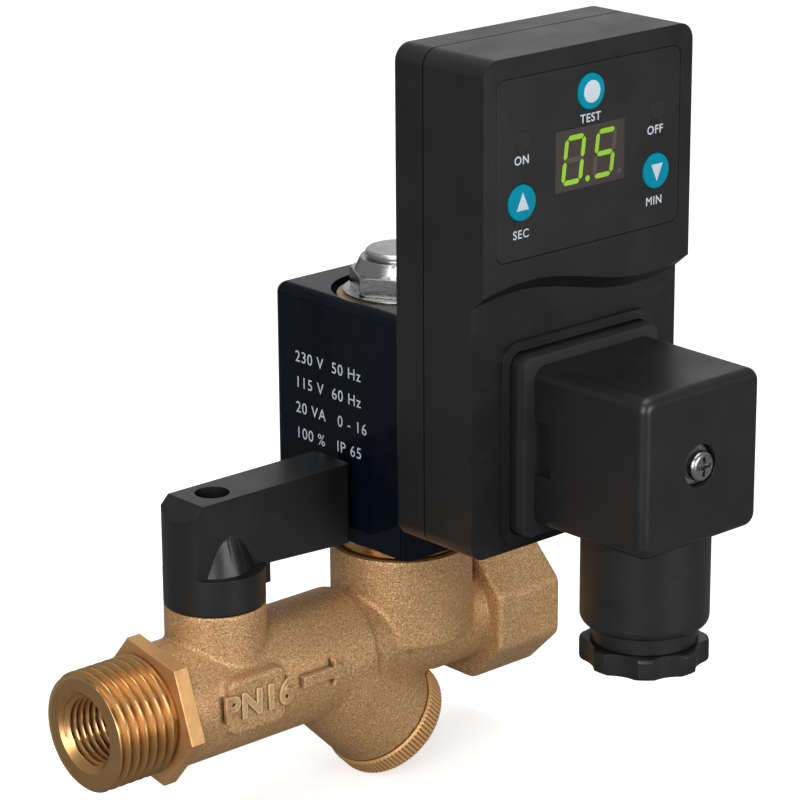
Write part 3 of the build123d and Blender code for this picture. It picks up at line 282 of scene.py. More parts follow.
def make_moulding_group():
    """Moulded plastic: faint spark-eroded texture, slight gloss change and pale handling marks."""
    group, inside, out = new_group(
        "moulded_texture",
        [("Colour", "NodeSocketColor", (0.01, 0.01, 0.01, 1)), ("Texture Scale", "NodeSocketFloat", 3000.0),
         ("Gloss", "NodeSocketFloat", 0.4), ("Marks", "NodeSocketFloat", 0.25)],
        [("Colour", "NodeSocketColor"), ("Roughness", "NodeSocketFloat"), ("Height", "NodeSocketFloat")])
    where = scaled_coordinates(group, (1, 1, 1))
    stipple = noise(group, inside.outputs["Texture Scale"], 3.0, 0.6, where)
    cloud = noise(group, 90.0, 4.0, 0.6, where)
    scratch_where = scaled_coordinates(group, (240, 2400, 900))
    scratch = noise(group, 1.0, 3.0, 0.6, scratch_where)
    mark_mask = spread(group, scratch, 0.62, 0.78)
    marks = arithmetic(group, "MULTIPLY", mark_mask, inside.outputs["Marks"])
    cloud_mask = spread(group, cloud, 0.4, 0.75, 0.0, 0.25)
    soft = blend_colour(group, cloud_mask, inside.outputs["Colour"], (0.016, 0.016, 0.017, 1))
    worn = blend_colour(group, arithmetic(group, "MULTIPLY", marks, 0.35), soft, (0.06, 0.06, 0.062, 1))
    shine = spread(group, cloud, 0.3, 0.7, -0.05, 0.06)
    rough = arithmetic(group, "ADD", inside.outputs["Gloss"], shine)
    rough = arithmetic(group, "ADD", rough, arithmetic(group, "MULTIPLY", marks, 0.25))
    group.links.new(worn, out.inputs["Colour"])
    group.links.new(rough, out.inputs["Roughness"])
    group.links.new(stipple, out.inputs["Height"])
    return group


def make_turning_group():
    """Lathe-turned metal: fine tool lines round an axis and soft tarnish."""
    group, inside, out = new_group(
        "turned_lines",
        [("Colour", "NodeSocketColor", (0.7, 0.4, 0.2, 1)), ("Tarnish", "NodeSocketColor", (0.4, 0.2, 0.08, 1)),
         ("Line Scale", "NodeSocketVector", (9000, 300, 300)), ("Gloss", "NodeSocketFloat", 0.25)],
        [("Colour", "NodeSocketColor"), ("Roughness", "NodeSocketFloat"), ("Height", "NodeSocketFloat")])
    place = group.nodes.new("ShaderNodeTexCoord")
    stretch = group.nodes.new("ShaderNodeVectorMath")
    stretch.operation = "MULTIPLY"
    group.links.new(place.outputs["Object"], stretch.inputs[0])
    group.links.new(inside.outputs["Line Scale"], stretch.inputs[1])
    lines = noise(group, 1.0, 2.0, 0.5, stretch.outputs[0])
    cloud = noise(group, 150.0, 4.0, 0.6, place.outputs["Object"])
    stain = spread(group, cloud, 0.45, 0.75, 0.0, 0.55)
    colour = blend_colour(group, stain, inside.outputs["Colour"], inside.outputs["Tarnish"])
    shine = spread(group, lines, 0.3, 0.7, -0.05, 0.10)
    rough = arithmetic(group, "ADD", inside.outputs["Gloss"], shine)
    rough = arithmetic(group, "ADD", rough, arithmetic(group, "MULTIPLY", stain, 0.2))
    group.links.new(colour, out.inputs["Colour"])
    group.links.new(rough, out.inputs["Roughness"])
    group.links.new(lines, out.inputs["Height"])
    return group


def make_shade_highlight_group():
    """Painted shade in crevices and painted highlight on convex edges, both found by ambient occlusion, laid over
    any base colour.
    """
    group, inside, out = new_group(
        "crevice_shade_edge_highlight",
        [("Colour", "NodeSocketColor", (0.5, 0.3, 0.15, 1)), ("Painted Shade", "NodeSocketColor", (0.05, 0.03, 0.015, 1)),
         ("Painted Highlight", "NodeSocketColor", (0.9, 0.65, 0.35, 1)), ("Reach", "NodeSocketFloat", 0.0012),
         ("Edge", "NodeSocketFloat", 0.5)],
        [("Colour", "NodeSocketColor")])
    hollow = group.nodes.new("ShaderNodeAmbientOcclusion")
    hollow.samples = 6
    group.links.new(inside.outputs["Reach"], hollow.inputs["Distance"])
    ridge = group.nodes.new("ShaderNodeAmbientOcclusion")
    ridge.samples = 6
    ridge.inside = True
    group.links.new(arithmetic(group, "MULTIPLY", inside.outputs["Reach"], 0.45), ridge.inputs["Distance"])
    # painted shade: the colour darkens where ambient occlusion finds a crevice
    crevice_shade = spread(group, hollow.outputs["AO"], 0.92, 0.45, 0.0, 0.85)
    # painted highlight: the colour brightens on convex edges that inside ambient occlusion finds
    edge_highlight = arithmetic(group, "MULTIPLY", spread(group, ridge.outputs["AO"], 0.80, 0.35), inside.outputs["Edge"])
    bright = blend_colour(group, edge_highlight, inside.outputs["Colour"], inside.outputs["Painted Highlight"])
    group.links.new(blend_colour(group, crevice_shade, bright, inside.outputs["Painted Shade"]), out.inputs["Colour"])
    return group


GROUPS = {}


def effect(name):
    """The shared effect of that name, built once."""
    makers = {"cast_grain": make_grain_group, "moulded_texture": make_moulding_group,
              "turned_lines": make_turning_group, "crevice_shade_edge_highlight": make_shade_highlight_group}
    if name not in GROUPS:
        GROUPS[name] = makers[name]()
    return GROUPS[name]


def finished(name, group, values, bump, metallic=0.0, painted_shade_highlight=None, **shader):
    """Material whose colour, roughness and bump come from a shared effect, with painted crevice shade and painted
    edge highlight laid over the colour.
    """
    name = "finish_" + name
    if name in bpy.data.materials:
        return bpy.data.materials[name]
    material = bpy.data.materials.new(name)
    material.use_nodes = True
    tree = material.node_tree
    surface = tree.nodes["Principled BSDF"]
    source = tree.nodes.new("ShaderNodeGroup")
    source.node_tree = effect(group)
    for label, value in values.items():
        source.inputs[label].default_value = value
    colour = source.outputs["Colour"]
    # painted shade in crevices and painted highlight on edges go over the colour here
    if painted_shade_highlight:
        shade_highlight_node = tree.nodes.new("ShaderNodeGroup")
        shade_highlight_node.node_tree = effect("crevice_shade_edge_highlight")
        for label, value in painted_shade_highlight.items():
            shade_highlight_node.inputs[label].default_value = value
        tree.links.new(colour, shade_highlight_node.inputs["Colour"])
        colour = shade_highlight_node.outputs["Colour"]
    tree.links.new(colour, surface.inputs["Base Color"])
    tree.links.new(source.outputs["Roughness"], surface.inputs["Roughness"])
    relief = tree.nodes.new("ShaderNodeBump")
    relief.inputs["Strength"].default_value = bump[0]
    relief.inputs["Distance"].default_value = bump[1]
    tree.links.new(source.outputs["Height"], relief.inputs["Height"])
    tree.links.new(relief.outputs["Normal"], surface.inputs["Normal"])
    surface.inputs["Metallic"].default_value = metallic
    for label, value in shader.items():
        surface.inputs["IOR" if label == "ior" else label.title()].default_value = value
    return material


def rgba(colour):
    return (colour[0], colour[1], colour[2], 1.0)


def cast_brass():
    colour = rgba(bpy.context.scene.drain_colour.cast)
    # The last dictionary paints shade into the crevices and highlight onto the edges of the cast brass.
    return finished("cast_brass", "cast_grain",
                    {"Colour": colour, "Speckle": 0.72, "Grain Scale": 3600.0, "Gloss": 0.5},
                    (0.62, 0.0002), metallic=0.55,
                    painted_shade_highlight={"Painted Shade": (0.075, 0.038, 0.015, 1), "Painted Highlight": (0.95, 0.68, 0.36, 1), "Reach": 0.0011,
                          "Edge": 0.75})


def turned_brass(name="turned_brass", lines=(9000, 300, 300), gloss=0.33, metallic=1.0):
    colour = rgba(bpy.context.scene.drain_colour.turned)
    # The last dictionary paints shade into the crevices and highlight onto the edges of the turned brass.
    return finished(name, "turned_lines",
                    {"Colour": colour, "Tarnish": (0.42, 0.21, 0.075, 1), "Line Scale": lines, "Gloss": gloss},
                    (0.25, 0.00003), metallic=metallic,
                    painted_shade_highlight={"Painted Shade": (0.20, 0.10, 0.035, 1), "Painted Highlight": (0.92, 0.68, 0.38, 1), "Reach": 0.0007,
                          "Edge": 0.6})


def zinc():
    return finished("zinc_plate", "turned_lines",
                    {"Colour": (0.42, 0.42, 0.415, 1), "Tarnish": (0.16, 0.16, 0.155, 1),
                     "Line Scale": (700, 700, 6000), "Gloss": 0.20}, (0.2, 0.00003), metallic=1.0)


def stainless():
    return finished("stainless", "turned_lines",
                    {"Colour": (0.56, 0.56, 0.56, 1), "Tarnish": (0.34, 0.33, 0.32, 1),
                     "Line Scale": (500, 500, 9000), "Gloss": 0.3}, (0.25, 0.00003), metallic=1.0)


def case_plastic():
    colour = rgba(bpy.context.scene.drain_colour.case)
    return finished("case_plastic", "moulded_texture",
                    {"Colour": colour, "Texture Scale": 4200.0, "Gloss": 0.36, "Marks": 0.22},
                    (0.12, 0.00004), ior=1.5)


def plug_plastic():
    return finished("plug_nylon", "moulded_texture",
                    {"Colour": (0.0075, 0.0075, 0.0078, 1), "Texture Scale": 2600.0, "Gloss": 0.36, "Marks": 0.2},
                    (0.28, 0.00005), ior=1.5)


def lever_plastic():
    return finished("lever_nylon", "moulded_texture",
                    {"Colour": (0.0065, 0.0068, 0.0075, 1), "Texture Scale": 2200.0, "Gloss": 0.37, "Marks": 0.3},
                    (0.35, 0.00006), ior=1.5)


def coil_resin():
    return finished("coil_resin", "moulded_texture",
                    {"Colour": (0.0018, 0.0036, 0.0075, 1), "Texture Scale": 1500.0, "Gloss": 0.13, "Marks": 0.08},
                    (0.05, 0.00004), ior=1.22)


def rubber():
    return finished("rubber", "moulded_texture",
                    {"Colour": (0.012, 0.012, 0.012, 1), "Texture Scale": 1800.0, "Gloss": 0.6, "Marks": 0.1},
                    (0.3, 0.00006))


def film():
    return finished("overlay_film", "moulded_texture",
                    {"Colour": (0.0085, 0.0085, 0.0085, 1), "Texture Scale": 6000.0, "Gloss": 0.40, "Marks": 0.08},
                    (0.10, 0.00003))


def plain_finish(name, colour, gloss, group="moulded_texture", **shader):
    return finished(name, group, {"Colour": rgba(colour), "Gloss": gloss}, (0.06, 0.00003), **shader)


def print_white():
    return plain_finish("print_white", (0.50, 0.57, 0.63), 0.5)


def glow(name, colour, strength):
    """Lit segment: coloured surface with its own light."""
    material = plain_finish(name, colour, 0.4)
    surface = material.node_tree.nodes["Principled BSDF"]
    surface.inputs["Emission Color"].default_value = rgba(colour)
    surface.inputs["Emission Strength"].default_value = strength
    return material


# --- mesh building ------------------------------------------------------------
def add_object(name, mesh, material, body, *replaced):
    """Links a piece, gives it its finish and body, and hides the nodes that it stands for."""
    piece = bpy.data.objects.new(name, mesh)
    bpy.context.scene.collection.objects.link(piece)
    mesh.materials.clear()
    mesh.materials.append(material)
    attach(piece, body)
    if replaced:
        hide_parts(*replaced)
    return piece


def smooth_by_angle(mesh, degrees=32.0):
    mesh.shade_smooth()
    mesh.set_sharp_from_angle(angle=math.radians(degrees))


def welded_copy(node, edge, segments=2, sharp=28.0):
    """Copy of a CAD node with true planar faces and softly rounded edges."""
    work = bmesh.new()
    work.from_mesh(NODES[node].data)
    bmesh.ops.remove_doubles(work, verts=work.verts, dist=2e-6)
    bmesh.ops.dissolve_limit(
        work, angle_limit=math.radians(0.6), verts=work.verts, edges=work.edges, delimit={"NORMAL"})
    if edge > 0:
        hard = [e for e in work.edges if len(e.link_faces) == 2 and e.calc_face_angle(0) > math.radians(sharp)]
        bmesh.ops.bevel(
            work, geom=hard, offset=edge, offset_type="OFFSET", segments=segments, profile=0.6,
            affect="EDGES", clamp_overlap=True)
    mesh = bpy.data.meshes.new(node + "_skin")
    work.to_mesh(mesh)
    work.free()
    smooth_by_angle(mesh)
    return mesh


def body_name(node):
    return NODES[node]["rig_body"]


def dress(node, material, edge=0.0002, segments=2, name=None, sharp=28.0):
    """Puts a softly edged, finished copy in the place of a CAD node."""
    mesh = welded_copy(node, edge, segments, sharp)
    piece = add_object(name or node + "_finish", mesh, material, body_name(node), node)
    flat = piece.modifiers.new("flat_faces", "WEIGHTED_NORMAL")
    flat.keep_sharp = True
    flat.weight = 80
    return piece


def repaint(material, *names):
    """Gives CAD nodes that keep their own mesh a finish."""
    for name in names:
        mesh = NODES[name].data
        smooth_by_angle(mesh)
        if not mesh.materials:
            mesh.materials.append(material)
        for index in range(len(mesh.materials)):
            mesh.materials[index] = material


def turned_mesh(name, rows, steps, place=Matrix.Identity(4), closed=True):
    """Solid of rows (distance along the axis, radius or radius function of the angle)."""
    mesh = bpy.data.meshes.new(name)
    work = bmesh.new()
    angles = [2 * math.pi * step / steps for step in range(steps)]
    rings = []
    for along, radius in rows:
        ring = []
        for angle in angles:
            size = radius(angle) if callable(radius) else radius
            point = Vector((along, size * math.cos(angle), size * math.sin(angle)))
            ring.append(work.verts.new(place @ point))
        rings.append(ring)
    count = len(rings)
    pairs = range(count) if closed else range(count - 1)
    for index in pairs:
        first, second = rings[index], rings[(index + 1) % count]
        for step in range(steps):
            after = (step + 1) % steps
            work.faces.new((first[step], first[after], second[after], second[step]))
    bmesh.ops.remove_doubles(work, verts=work.verts, dist=1e-7)
    bmesh.ops.recalc_face_normals(work, faces=work.faces)
    work.to_mesh(mesh)
    work.free()
    smooth_by_angle(mesh, 38.0)
    return mesh


def thread_form(along, angle, pitch):
    """Height of a rounded V thread, 0 in the root and 1 on the crest."""
    phase = (along / pitch - angle / (2 * math.pi)) % 1.0
    ramp = 1.0 - abs(2.0 * phase - 1.0)
    return min(1.0, max(0.0, (ramp - 0.12) / 0.76))


def threaded(along, pitch, base, depth, low=0.0, high=1.0):
    """Radius function of a thread, kept between two limits."""
    return lambda angle: min(high, max(low, base + depth * thread_form(along, angle, pitch)))


def steps_between(start, end, step):
    count = max(1, round(abs(end - start) / step))
    return [start + (end - start) * index / count for index in range(count + 1)]


def raised_text(name, words, size, depth, place, material, body, weight=0.0, bevel=0.0, align="CENTER"):
    """Words as a solid: the curve is turned into a mesh lying where place puts it."""
    curve = bpy.data.curves.new(name + "_line", "FONT")
    curve.body = words
    curve.size = size
    curve.extrude = depth
    curve.offset = weight
    curve.bevel_depth = bevel
    curve.align_x = align
    curve.space_character = 1.12
    curve.align_y = "CENTER"
    curve.resolution_u = 6
    writing = bpy.data.objects.new(name + "_line", curve)
    bpy.context.scene.collection.objects.link(writing)
    bpy.context.view_layer.update()
    graph = bpy.context.evaluated_depsgraph_get()
    mesh = bpy.data.meshes.new_from_object(writing.evaluated_get(graph))
    bpy.data.objects.remove(writing)
    mesh.transform(place)
    mesh.name = name
    return add_object(name, mesh, material, body)


def front_place(x, y, z):
    """Matrix for flat work that faces -Y, upright, at a point."""
    return Matrix.Translation((x, y, z)) @ Matrix.Rotation(math.radians(90), 4, "X")


def prism(name, outline, depth, place, material, body, edge=0.0):
    """Flat solid from an outline in its own plane, rising by depth."""
    work = bmesh.new()
    face = work.faces.new([work.verts.new((u, v, 0.0)) for u, v in outline])
    if face.normal.z < 0:
        face.normal_flip()
    grown = bmesh.ops.extrude_face_region(work, geom=[face])
    moved = [item for item in grown["geom"] if isinstance(item, bmesh.types.BMVert)]
    bmesh.ops.translate(work, verts=moved, vec=(0, 0, depth))
    if edge > 0:
        top = [e for e in work.edges if all(v in moved for v in e.verts)]
        bmesh.ops.bevel(work, geom=top, offset=edge, segments=2, profile=0.6, affect="EDGES", clamp_overlap=True)
    bmesh.ops.recalc_face_normals(work, faces=work.faces)
    mesh = bpy.data.meshes.new(name)
    work.to_mesh(mesh)
    work.free()
    mesh.transform(place)
    return add_object(name, mesh, material, body)


def disc_outline(radius, count=48):
    return [(radius * math.cos(2 * math.pi * i / count), radius * math.sin(2 * math.pi * i / count))
            for i in range(count)]


# --- cast body ------------------------------------------------------------------
def evaluated_mesh(piece):
    bpy.context.view_layer.update()
    graph = bpy.context.evaluated_depsgraph_get()
    return bpy.data.meshes.new_from_object(piece.evaluated_get(graph))


def relaxed(mesh, rounds, weight):
    """Moves each vertex towards its neighbours' mean, by its weight, without shrinking much."""
    count = len(mesh.vertices)
    points = np.zeros(count * 3)
    mesh.vertices.foreach_get("co", points)
    points = points.reshape(-1, 3)
    ends = np.zeros(len(mesh.edges) * 2, int)
    mesh.edges.foreach_get("vertices", ends)
    first, second = ends[0::2], ends[1::2]
    degree = np.bincount(first, minlength=count) + np.bincount(second, minlength=count)
    share = weight(points)[:, None]
    for turn in range(rounds * 2):
        mean = np.zeros_like(points)
        for axis in range(3):
            mean[:, axis] = (np.bincount(first, points[second, axis], count)
                             + np.bincount(second, points[first, axis], count)) / degree
        factor = 0.5 if turn % 2 == 0 else -0.42
        points = points + factor * share * (mean - points)
    mesh.vertices.foreach_set("co", points.ravel())
    mesh.update()


def cast_share(points):
    """1 on cast skin and 0 on machined faces: bores, outlet thread, tower top and inlet face."""
    low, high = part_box("valve_body")
    radial = np.hypot(points[:, 1], points[:, 2])
    share = np.ones(len(points))
    share[(points[:, 0] > high.x - 13 * MM) & (radial < 11.2 * MM)] = 0.0
    share[(points[:, 0] < low.x + 0.6 * MM)] = 0.15
    share[(radial < 8.6 * MM) & (points[:, 0] < low.x + 25 * MM)] = 0.0
    pad = (np.abs(points[:, 0] - (low.x + 15.3 * MM)) < 7.4 * MM) & (np.abs(points[:, 2] - 1.2 * MM) < 6 * MM)
    share[pad & (points[:, 1] < -10 * MM)] = 0.1
    tower_x = (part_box("bonnet")[0].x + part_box("bonnet")[1].x) / 2
    tower_r = np.hypot(points[:, 0] - tower_x, points[:, 1])
    share[(points[:, 2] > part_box("bonnet")[1].z - 2.9 * MM) & (tower_r < 14 * MM)] = 0.1
    return share


class DRAIN_OT_cast_body(bpy.types.Operator):
    """Cast brass body with softened joints, threaded outlet, raised rating and flow arrow"""
    bl_idname = "drain.cast_body"
    bl_label = "Cast body"

    def execute(self, context):
        cast = context.scene.drain_cast
        work = bmesh.new()
        work.from_mesh(NODES["valve_body"].data)
        bmesh.ops.remove_doubles(work, verts=work.verts, dist=2e-6)
        mesh = bpy.data.meshes.new("cast_skin")
        work.to_mesh(mesh)
        work.free()
        skin = bpy.data.objects.new("cast_skin_work", mesh)
        context.scene.collection.objects.link(skin)
        grid = skin.modifiers.new("grid", "REMESH")
        grid.mode = "VOXEL"
        grid.voxel_size = cast.voxel
        fine = evaluated_mesh(skin)
        relaxed(fine, cast.soften, cast_share)
        skin.modifiers.clear()
        skin.data = fine
        cutter = bpy.data.objects.new("outlet_tap", self.outlet_tap(context))
        context.scene.collection.objects.link(cutter)
        cut = skin.modifiers.new("thread", "BOOLEAN")
        cut.operation = "DIFFERENCE"
        cut.solver = "EXACT"
        cut.object = cutter
        threaded_skin = evaluated_mesh(skin)
        bpy.data.objects.remove(cutter)
        bpy.data.objects.remove(skin)
        smooth_by_angle(threaded_skin, 40.0)
        add_object("cast_body", threaded_skin, cast_brass(), "valve", "valve_body")
        self.markings(context)
        return {"FINISHED"}

    def outlet_tap(self, context):
        """Cutter that leaves the female half-inch thread in the outlet."""
        thread = context.scene.drain_thread
        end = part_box("valve_body")[1].x
        minor = thread.half_major - thread.half_depth
        rows = [(end - 13 * MM, 0.0), (end - 13 * MM, minor - 0.1 * MM)]
        for along in steps_between(end - OUTLET_TAP_LENGTH, end + 1 * MM, thread.half_pitch / 12):
            mouth = max(0.0, along - (end - 1.2 * MM)) + minor
            rows.append((along, threaded(along, thread.half_pitch, minor, thread.half_depth, mouth, 1.0)))
        rows.append((end + 1 * MM, 0.0))
        return turned_mesh("outlet_tap", rows, 96, closed=False)

    def markings(self, context):
        """Raised rating on the pad and the arrow that shows the flow."""
        rise = context.scene.drain_cast.word_rise
        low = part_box("valve_body")[0]
        raised_text("cast_rating", "PN16", 6.0 * MM, rise / 2, front_place(*PAD_CENTRE),
                    cast_brass(), "valve", weight=0.00022, bevel=0.00012)
        shaft, head, tip = 1.05 * MM, 2.5 * MM, 4.9 * MM
        outline = [(-tip, -shaft), (tip * 0.42, -shaft), (tip * 0.42, -head), (tip, 0.0),
                   (tip * 0.42, head), (tip * 0.42, shaft), (-tip, shaft)]
        middle_x = low.x + 27.3 * MM
        prism("cast_arrow", outline, 1.15 * MM, front_place(middle_x, -10.9 * MM, 1.7 * MM), cast_brass(), "valve",
              edge=0.00025)


class DRAIN_OT_inlet(bpy.types.Operator):
    """Turned inlet fitting with its outer and inner pipe threads and hexagon"""
    bl_idname = "drain.inlet"
    bl_label = "Inlet fitting"

    def execute(self, context):
        thread = context.scene.drain_thread
        body_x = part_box("valve_body")[0].x
        end_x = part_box("inlet_fitting")[1].x
        hex_x = body_x - HEX_LENGTH
        minor = thread.half_major - thread.half_depth
        mouth = thread.quarter_minor + INLET_MOUTH_FLARE
        rim = thread.half_major - INLET_CREST_CUT
        rows = [(0.0, mouth), (0.0, rim)]
        for along in steps_between(0.04 * MM, hex_x - 0.9 * MM, thread.half_pitch / 14):
            rows.append((along, threaded(along, thread.half_pitch, minor, thread.half_depth, 0.0, rim + along)))
        rows += [(hex_x - 0.6 * MM, minor), (hex_x + 0.5 * MM, minor), (body_x - 0.3 * MM, minor)]
        rows += [(body_x - 0.3 * MM, SPIGOT_R), (end_x, SPIGOT_R), (end_x, INLET_BORE_R),
                 (INLET_TAP_LENGTH, INLET_BORE_R)]
        for along in steps_between(INLET_TAP_LENGTH - 0.1 * MM, 0.1 * MM, thread.quarter_pitch / 12):
            flare = mouth - along * 1.05
            rows.append((along, threaded(along, thread.quarter_pitch, thread.quarter_minor,
                                         thread.quarter_depth, flare, 1.0)))
        mesh = turned_mesh("inlet_turned", rows, 120)
        add_object("inlet_threaded", mesh, turned_brass(), "valve", "inlet_fitting")
        self.hexagon(hex_x, body_x)
        return {"FINISHED"}

    def hexagon(self, start, end):
        """Flats turned a little from upright, with small worn edges."""
        def side(inset):
            return lambda angle: (HEX_FLAT - inset) / math.cos((angle - HEX_TURN) % (math.pi / 3) - math.pi / 6)

        inner = 9.0 * MM
        rows = [(start, inner), (start, side(HEX_WEAR)), (start + HEX_WEAR, side(0.0)),
                (end - HEX_WEAR, side(0.0)), (end, side(HEX_WEAR)), (end, inner)]
        mesh = turned_mesh("inlet_hexagon", rows, 144)
        add_object("inlet_hexagon", mesh, turned_brass("hexagon_brass", (500, 2500, 2500), 0.44, 0.75), "valve",
                   "inlet_fitting")


class DRAIN_OT_strainer_cap(bpy.types.Operator):
    """Knurled strainer cap with its threaded spigot"""
    bl_idname = "drain.strainer_cap"
    bl_label = "Strainer cap"

    def execute(self, context):
        knurls = context.scene.drain_cast.knurls
        place = Matrix.Translation((CAP_AXIS_X, 0, 0)) @ Matrix.Rotation(math.radians(45), 4, "Y")
        start, end, rim = 20.75 * MM, 24.9 * MM, 11.3 * MM

        def knurl(size, depth):
            def radius(angle):
                wave = abs(((angle * knurls / (2 * math.pi)) % 1.0) * 2 - 1)
                return size - depth * max(0.0, 1 - wave * 2.2)
            return radius

        rows = [(start, 0.0), (start, 6.45 * MM), (start - 6 * MM, 6.45 * MM), (start - 6 * MM, 7.6 * MM)]
        for along in steps_between(start - 5.7 * MM, start - 0.4 * MM, CAP_THREAD_PITCH / 8):
            rows.append((along, threaded(along, CAP_THREAD_PITCH, 7.25 * MM, 0.7 * MM)))
        rows += [(start, 7.4 * MM), (start, rim - 0.45 * MM), (start + 0.35 * MM, knurl(rim - 0.05 * MM, 0.12 * MM)),
                 (start + 0.6 * MM, knurl(rim, 0.34 * MM)), (end - 0.6 * MM, knurl(rim, 0.34 * MM)),
                 (end - 0.3 * MM, knurl(rim - 0.08 * MM, 0.12 * MM)), (end, rim - 0.5 * MM), (end, 6.7 * MM),
                 (end - 0.2 * MM, 6.5 * MM), (end - 1.2 * MM, 6.3 * MM), (end - 1.2 * MM, 0.0)]
        mesh = turned_mesh("strainer_cap_knurled", rows, knurls * KNURL_STEPS, place, closed=False)
        add_object("strainer_cap_knurled", mesh, turned_brass("knurled_brass", (2500, 2500, 2500), 0.48, 0.5),
                   "cap_body", "strainer_cap")
        repaint(stainless(), "strainer_screen")
        repaint(rubber(), "strainer_o_ring")
        return {"FINISHED"}


class DRAIN_OT_ball_valve(bpy.types.Operator):
    """Lever handle and the ball valve's inner pieces"""
    bl_idname = "drain.ball_valve"
    bl_label = "Lever and ball valve"

    def execute(self, context):
        dress("handle", lever_plastic(), edge=0.00035, segments=3)
        dress("handle_screw", zinc(), edge=0.00008)
        repaint(plain_finish("ball_chrome", (0.62, 0.62, 0.63), 0.1, metallic=1.0), "ball")
        repaint(turned_brass("stem_brass", (300, 300, 9000)), "stem")
        repaint(plain_finish("ptfe", (0.78, 0.78, 0.74), 0.45), "seat_inlet", "seat_outlet", "stem_thrust_washer")
        repaint(rubber(), "stem_o_rings")
        return {"FINISHED"}


class DRAIN_OT_solenoid(bpy.types.Operator):
    """Solenoid valve: bonnet, core tube, plunger, coil, its printed ratings and top nut"""
    bl_idname = "drain.solenoid"
    bl_label = "Solenoid"

    def execute(self, context):
        dress("bonnet", turned_brass("bonnet_brass", (300, 300, 9000), 0.2), edge=0.0001)
        dress("coil_body", coil_resin(), edge=0.00025)
        dress("coil_nut", zinc(), edge=0.00015)
        dress("coil_washer", zinc(), edge=0.0001)
        dress("fixed_core", stainless(), edge=0.0001)
        dress("coil_top_seal", plain_finish("buff_seal", (0.27, 0.20, 0.09), 0.55), edge=0.0001)
        repaint(stainless(), "core_tube", "plunger")
        repaint(zinc(), "flux_frame", "coil_terminals")
        copper = finished("enamelled_copper", "turned_lines",
                          {"Colour": (0.62, 0.22, 0.08, 1), "Tarnish": (0.4, 0.12, 0.04, 1),
                           "Line Scale": (300, 300, 7000), "Gloss": 0.3}, (0.4, 0.0001), metallic=1.0)
        repaint(copper, "shading_ring", "coil_winding")
        repaint(rubber(), "plunger_seal", "coil_gasket", "connector_gasket")
        repaint(plain_finish("bobbin_white", (0.7, 0.7, 0.66), 0.5), "coil_bobbin")
        self.spring()
        self.label()
        return {"FINISHED"}

    def spring(self):
        """Return spring, which closes up between the plunger's collar and the core tube's flange, copied here as a
        fixed piece.
        """
        mesh = NODES["plunger_spring"].data.copy()
        mesh.materials.clear()
        mesh.materials.append(stainless())
        smooth_by_angle(mesh)
        wire = bpy.data.objects.new("plunger_spring_wire", mesh)
        bpy.context.scene.collection.objects.link(wire)
        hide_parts("plunger_spring")
        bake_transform(wire)

    def label(self):
        """Printed ratings on the coil's side."""
        low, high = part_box("coil_body")
        turn = Matrix.Rotation(math.radians(-90), 4, "Z")
        lines = ("230 V  50 Hz", "115 V  60 Hz", "20 VA   0 - 16", "100 %   IP 65")
        for index, words in enumerate(lines):
            z = high.z - (12.6 + 4.7 * index) * MM
            place = Matrix.Translation((low.x, 12.6 * MM, z)) @ turn @ Matrix.Rotation(math.radians(90), 4, "X")
            raised_text(f"coil_rating_{index + 1}", words, 2.9 * MM, 0.02 * MM, place, print_white(), "valve",
                        align="LEFT")


class DRAIN_OT_timer_case(bpy.types.Operator):
    """Timer case shells with their seam, and the pieces inside"""
    bl_idname = "drain.timer_case"
    bl_label = "Timer case"

    def execute(self, context):
        dress("timer_front_shell", case_plastic(), edge=0.0008, segments=4, sharp=30.0)
        dress("timer_rear_shell", case_plastic(), edge=0.0003, segments=2, sharp=30.0)
        repaint(zinc(), "timer_case_screws", "timer_pins")
        repaint(plain_finish("black_component", (0.015, 0.015, 0.016), 0.4), "tact_switches", "timer_relay",
                "timer_capacitor", "timer_socket", "display_module")
        repaint(plain_finish("board_green", (0.01, 0.08, 0.03), 0.35), "timer_board")
        return {"FINISHED"}


class DRAIN_OT_panel(bpy.types.Operator):
    """Front film with its words, windows, indicators and keys"""
    bl_idname = "drain.panel"
    bl_label = "Front panel"

    def execute(self, context):
        dress("timer_overlay", film(), edge=0.00012)
        dress("indicator_lenses", plain_finish("indicator_dark", (0.022, 0.020, 0.020), 0.22), edge=0.00005)
        self.words()
        self.keys(context)
        return {"FINISHED"}

    def words(self):
        low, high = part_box("timer_overlay")
        centre_x, centre_z = (low.x + high.x) / 2, (low.z + high.z) / 2
        for words, dx, dz in (("TEST", 0.0, 5.9), ("ON", -15.4, 1.4), ("OFF", 15.1, 1.45),
                              ("SEC", -15.5, -10.75), ("MIN", 15.1, -10.6)):
            raised_text("panel_word_" + words.lower(), words, 2.0 * MM, 0.015 * MM,
                        front_place(centre_x + dx * MM, low.y, centre_z + dz * MM), print_white(), "valve",
                        weight=0.00003)

    def keys(self, context):
        colour = context.scene.drain_colour.teal
        teal = finished("key_teal", "moulded_texture",
                        {"Colour": rgba(colour), "Texture Scale": 5000.0, "Gloss": 0.42, "Marks": 0.05},
                        (0.08, 0.00003), ior=1.15)
        for node in ("button_test", "button_up", "button_down"):
            dress(node, teal, edge=0.00012)
            low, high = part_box(node)
            middle = ((low.x + high.x) / 2, low.y, (low.z + high.z) / 2)
            outline = disc_outline(1.85 * MM)
            if node != "button_test":
                flip = 1 if node == "button_up" else -1
                outline = [(-1.35 * MM, -1.2 * MM * flip), (1.35 * MM, -1.2 * MM * flip), (0.0, 1.75 * MM * flip)]
                if flip < 0:
                    outline.reverse()
            prism(node + "_mark", outline, 0.03 * MM, front_place(*middle), print_white(), body_name(node))


SEGMENTS = {
    "a": ((0, 2), (1, 2)), "b": ((1, 2), (1, 1)), "c": ((1, 1), (1, 0)), "d": ((0, 0), (1, 0)),
    "e": ((0, 1), (0, 0)), "f": ((0, 2), (0, 1)), "g": ((0, 1), (1, 1)),
}
DIGITS = {"0": "abcdef", "5": "afgcd"}


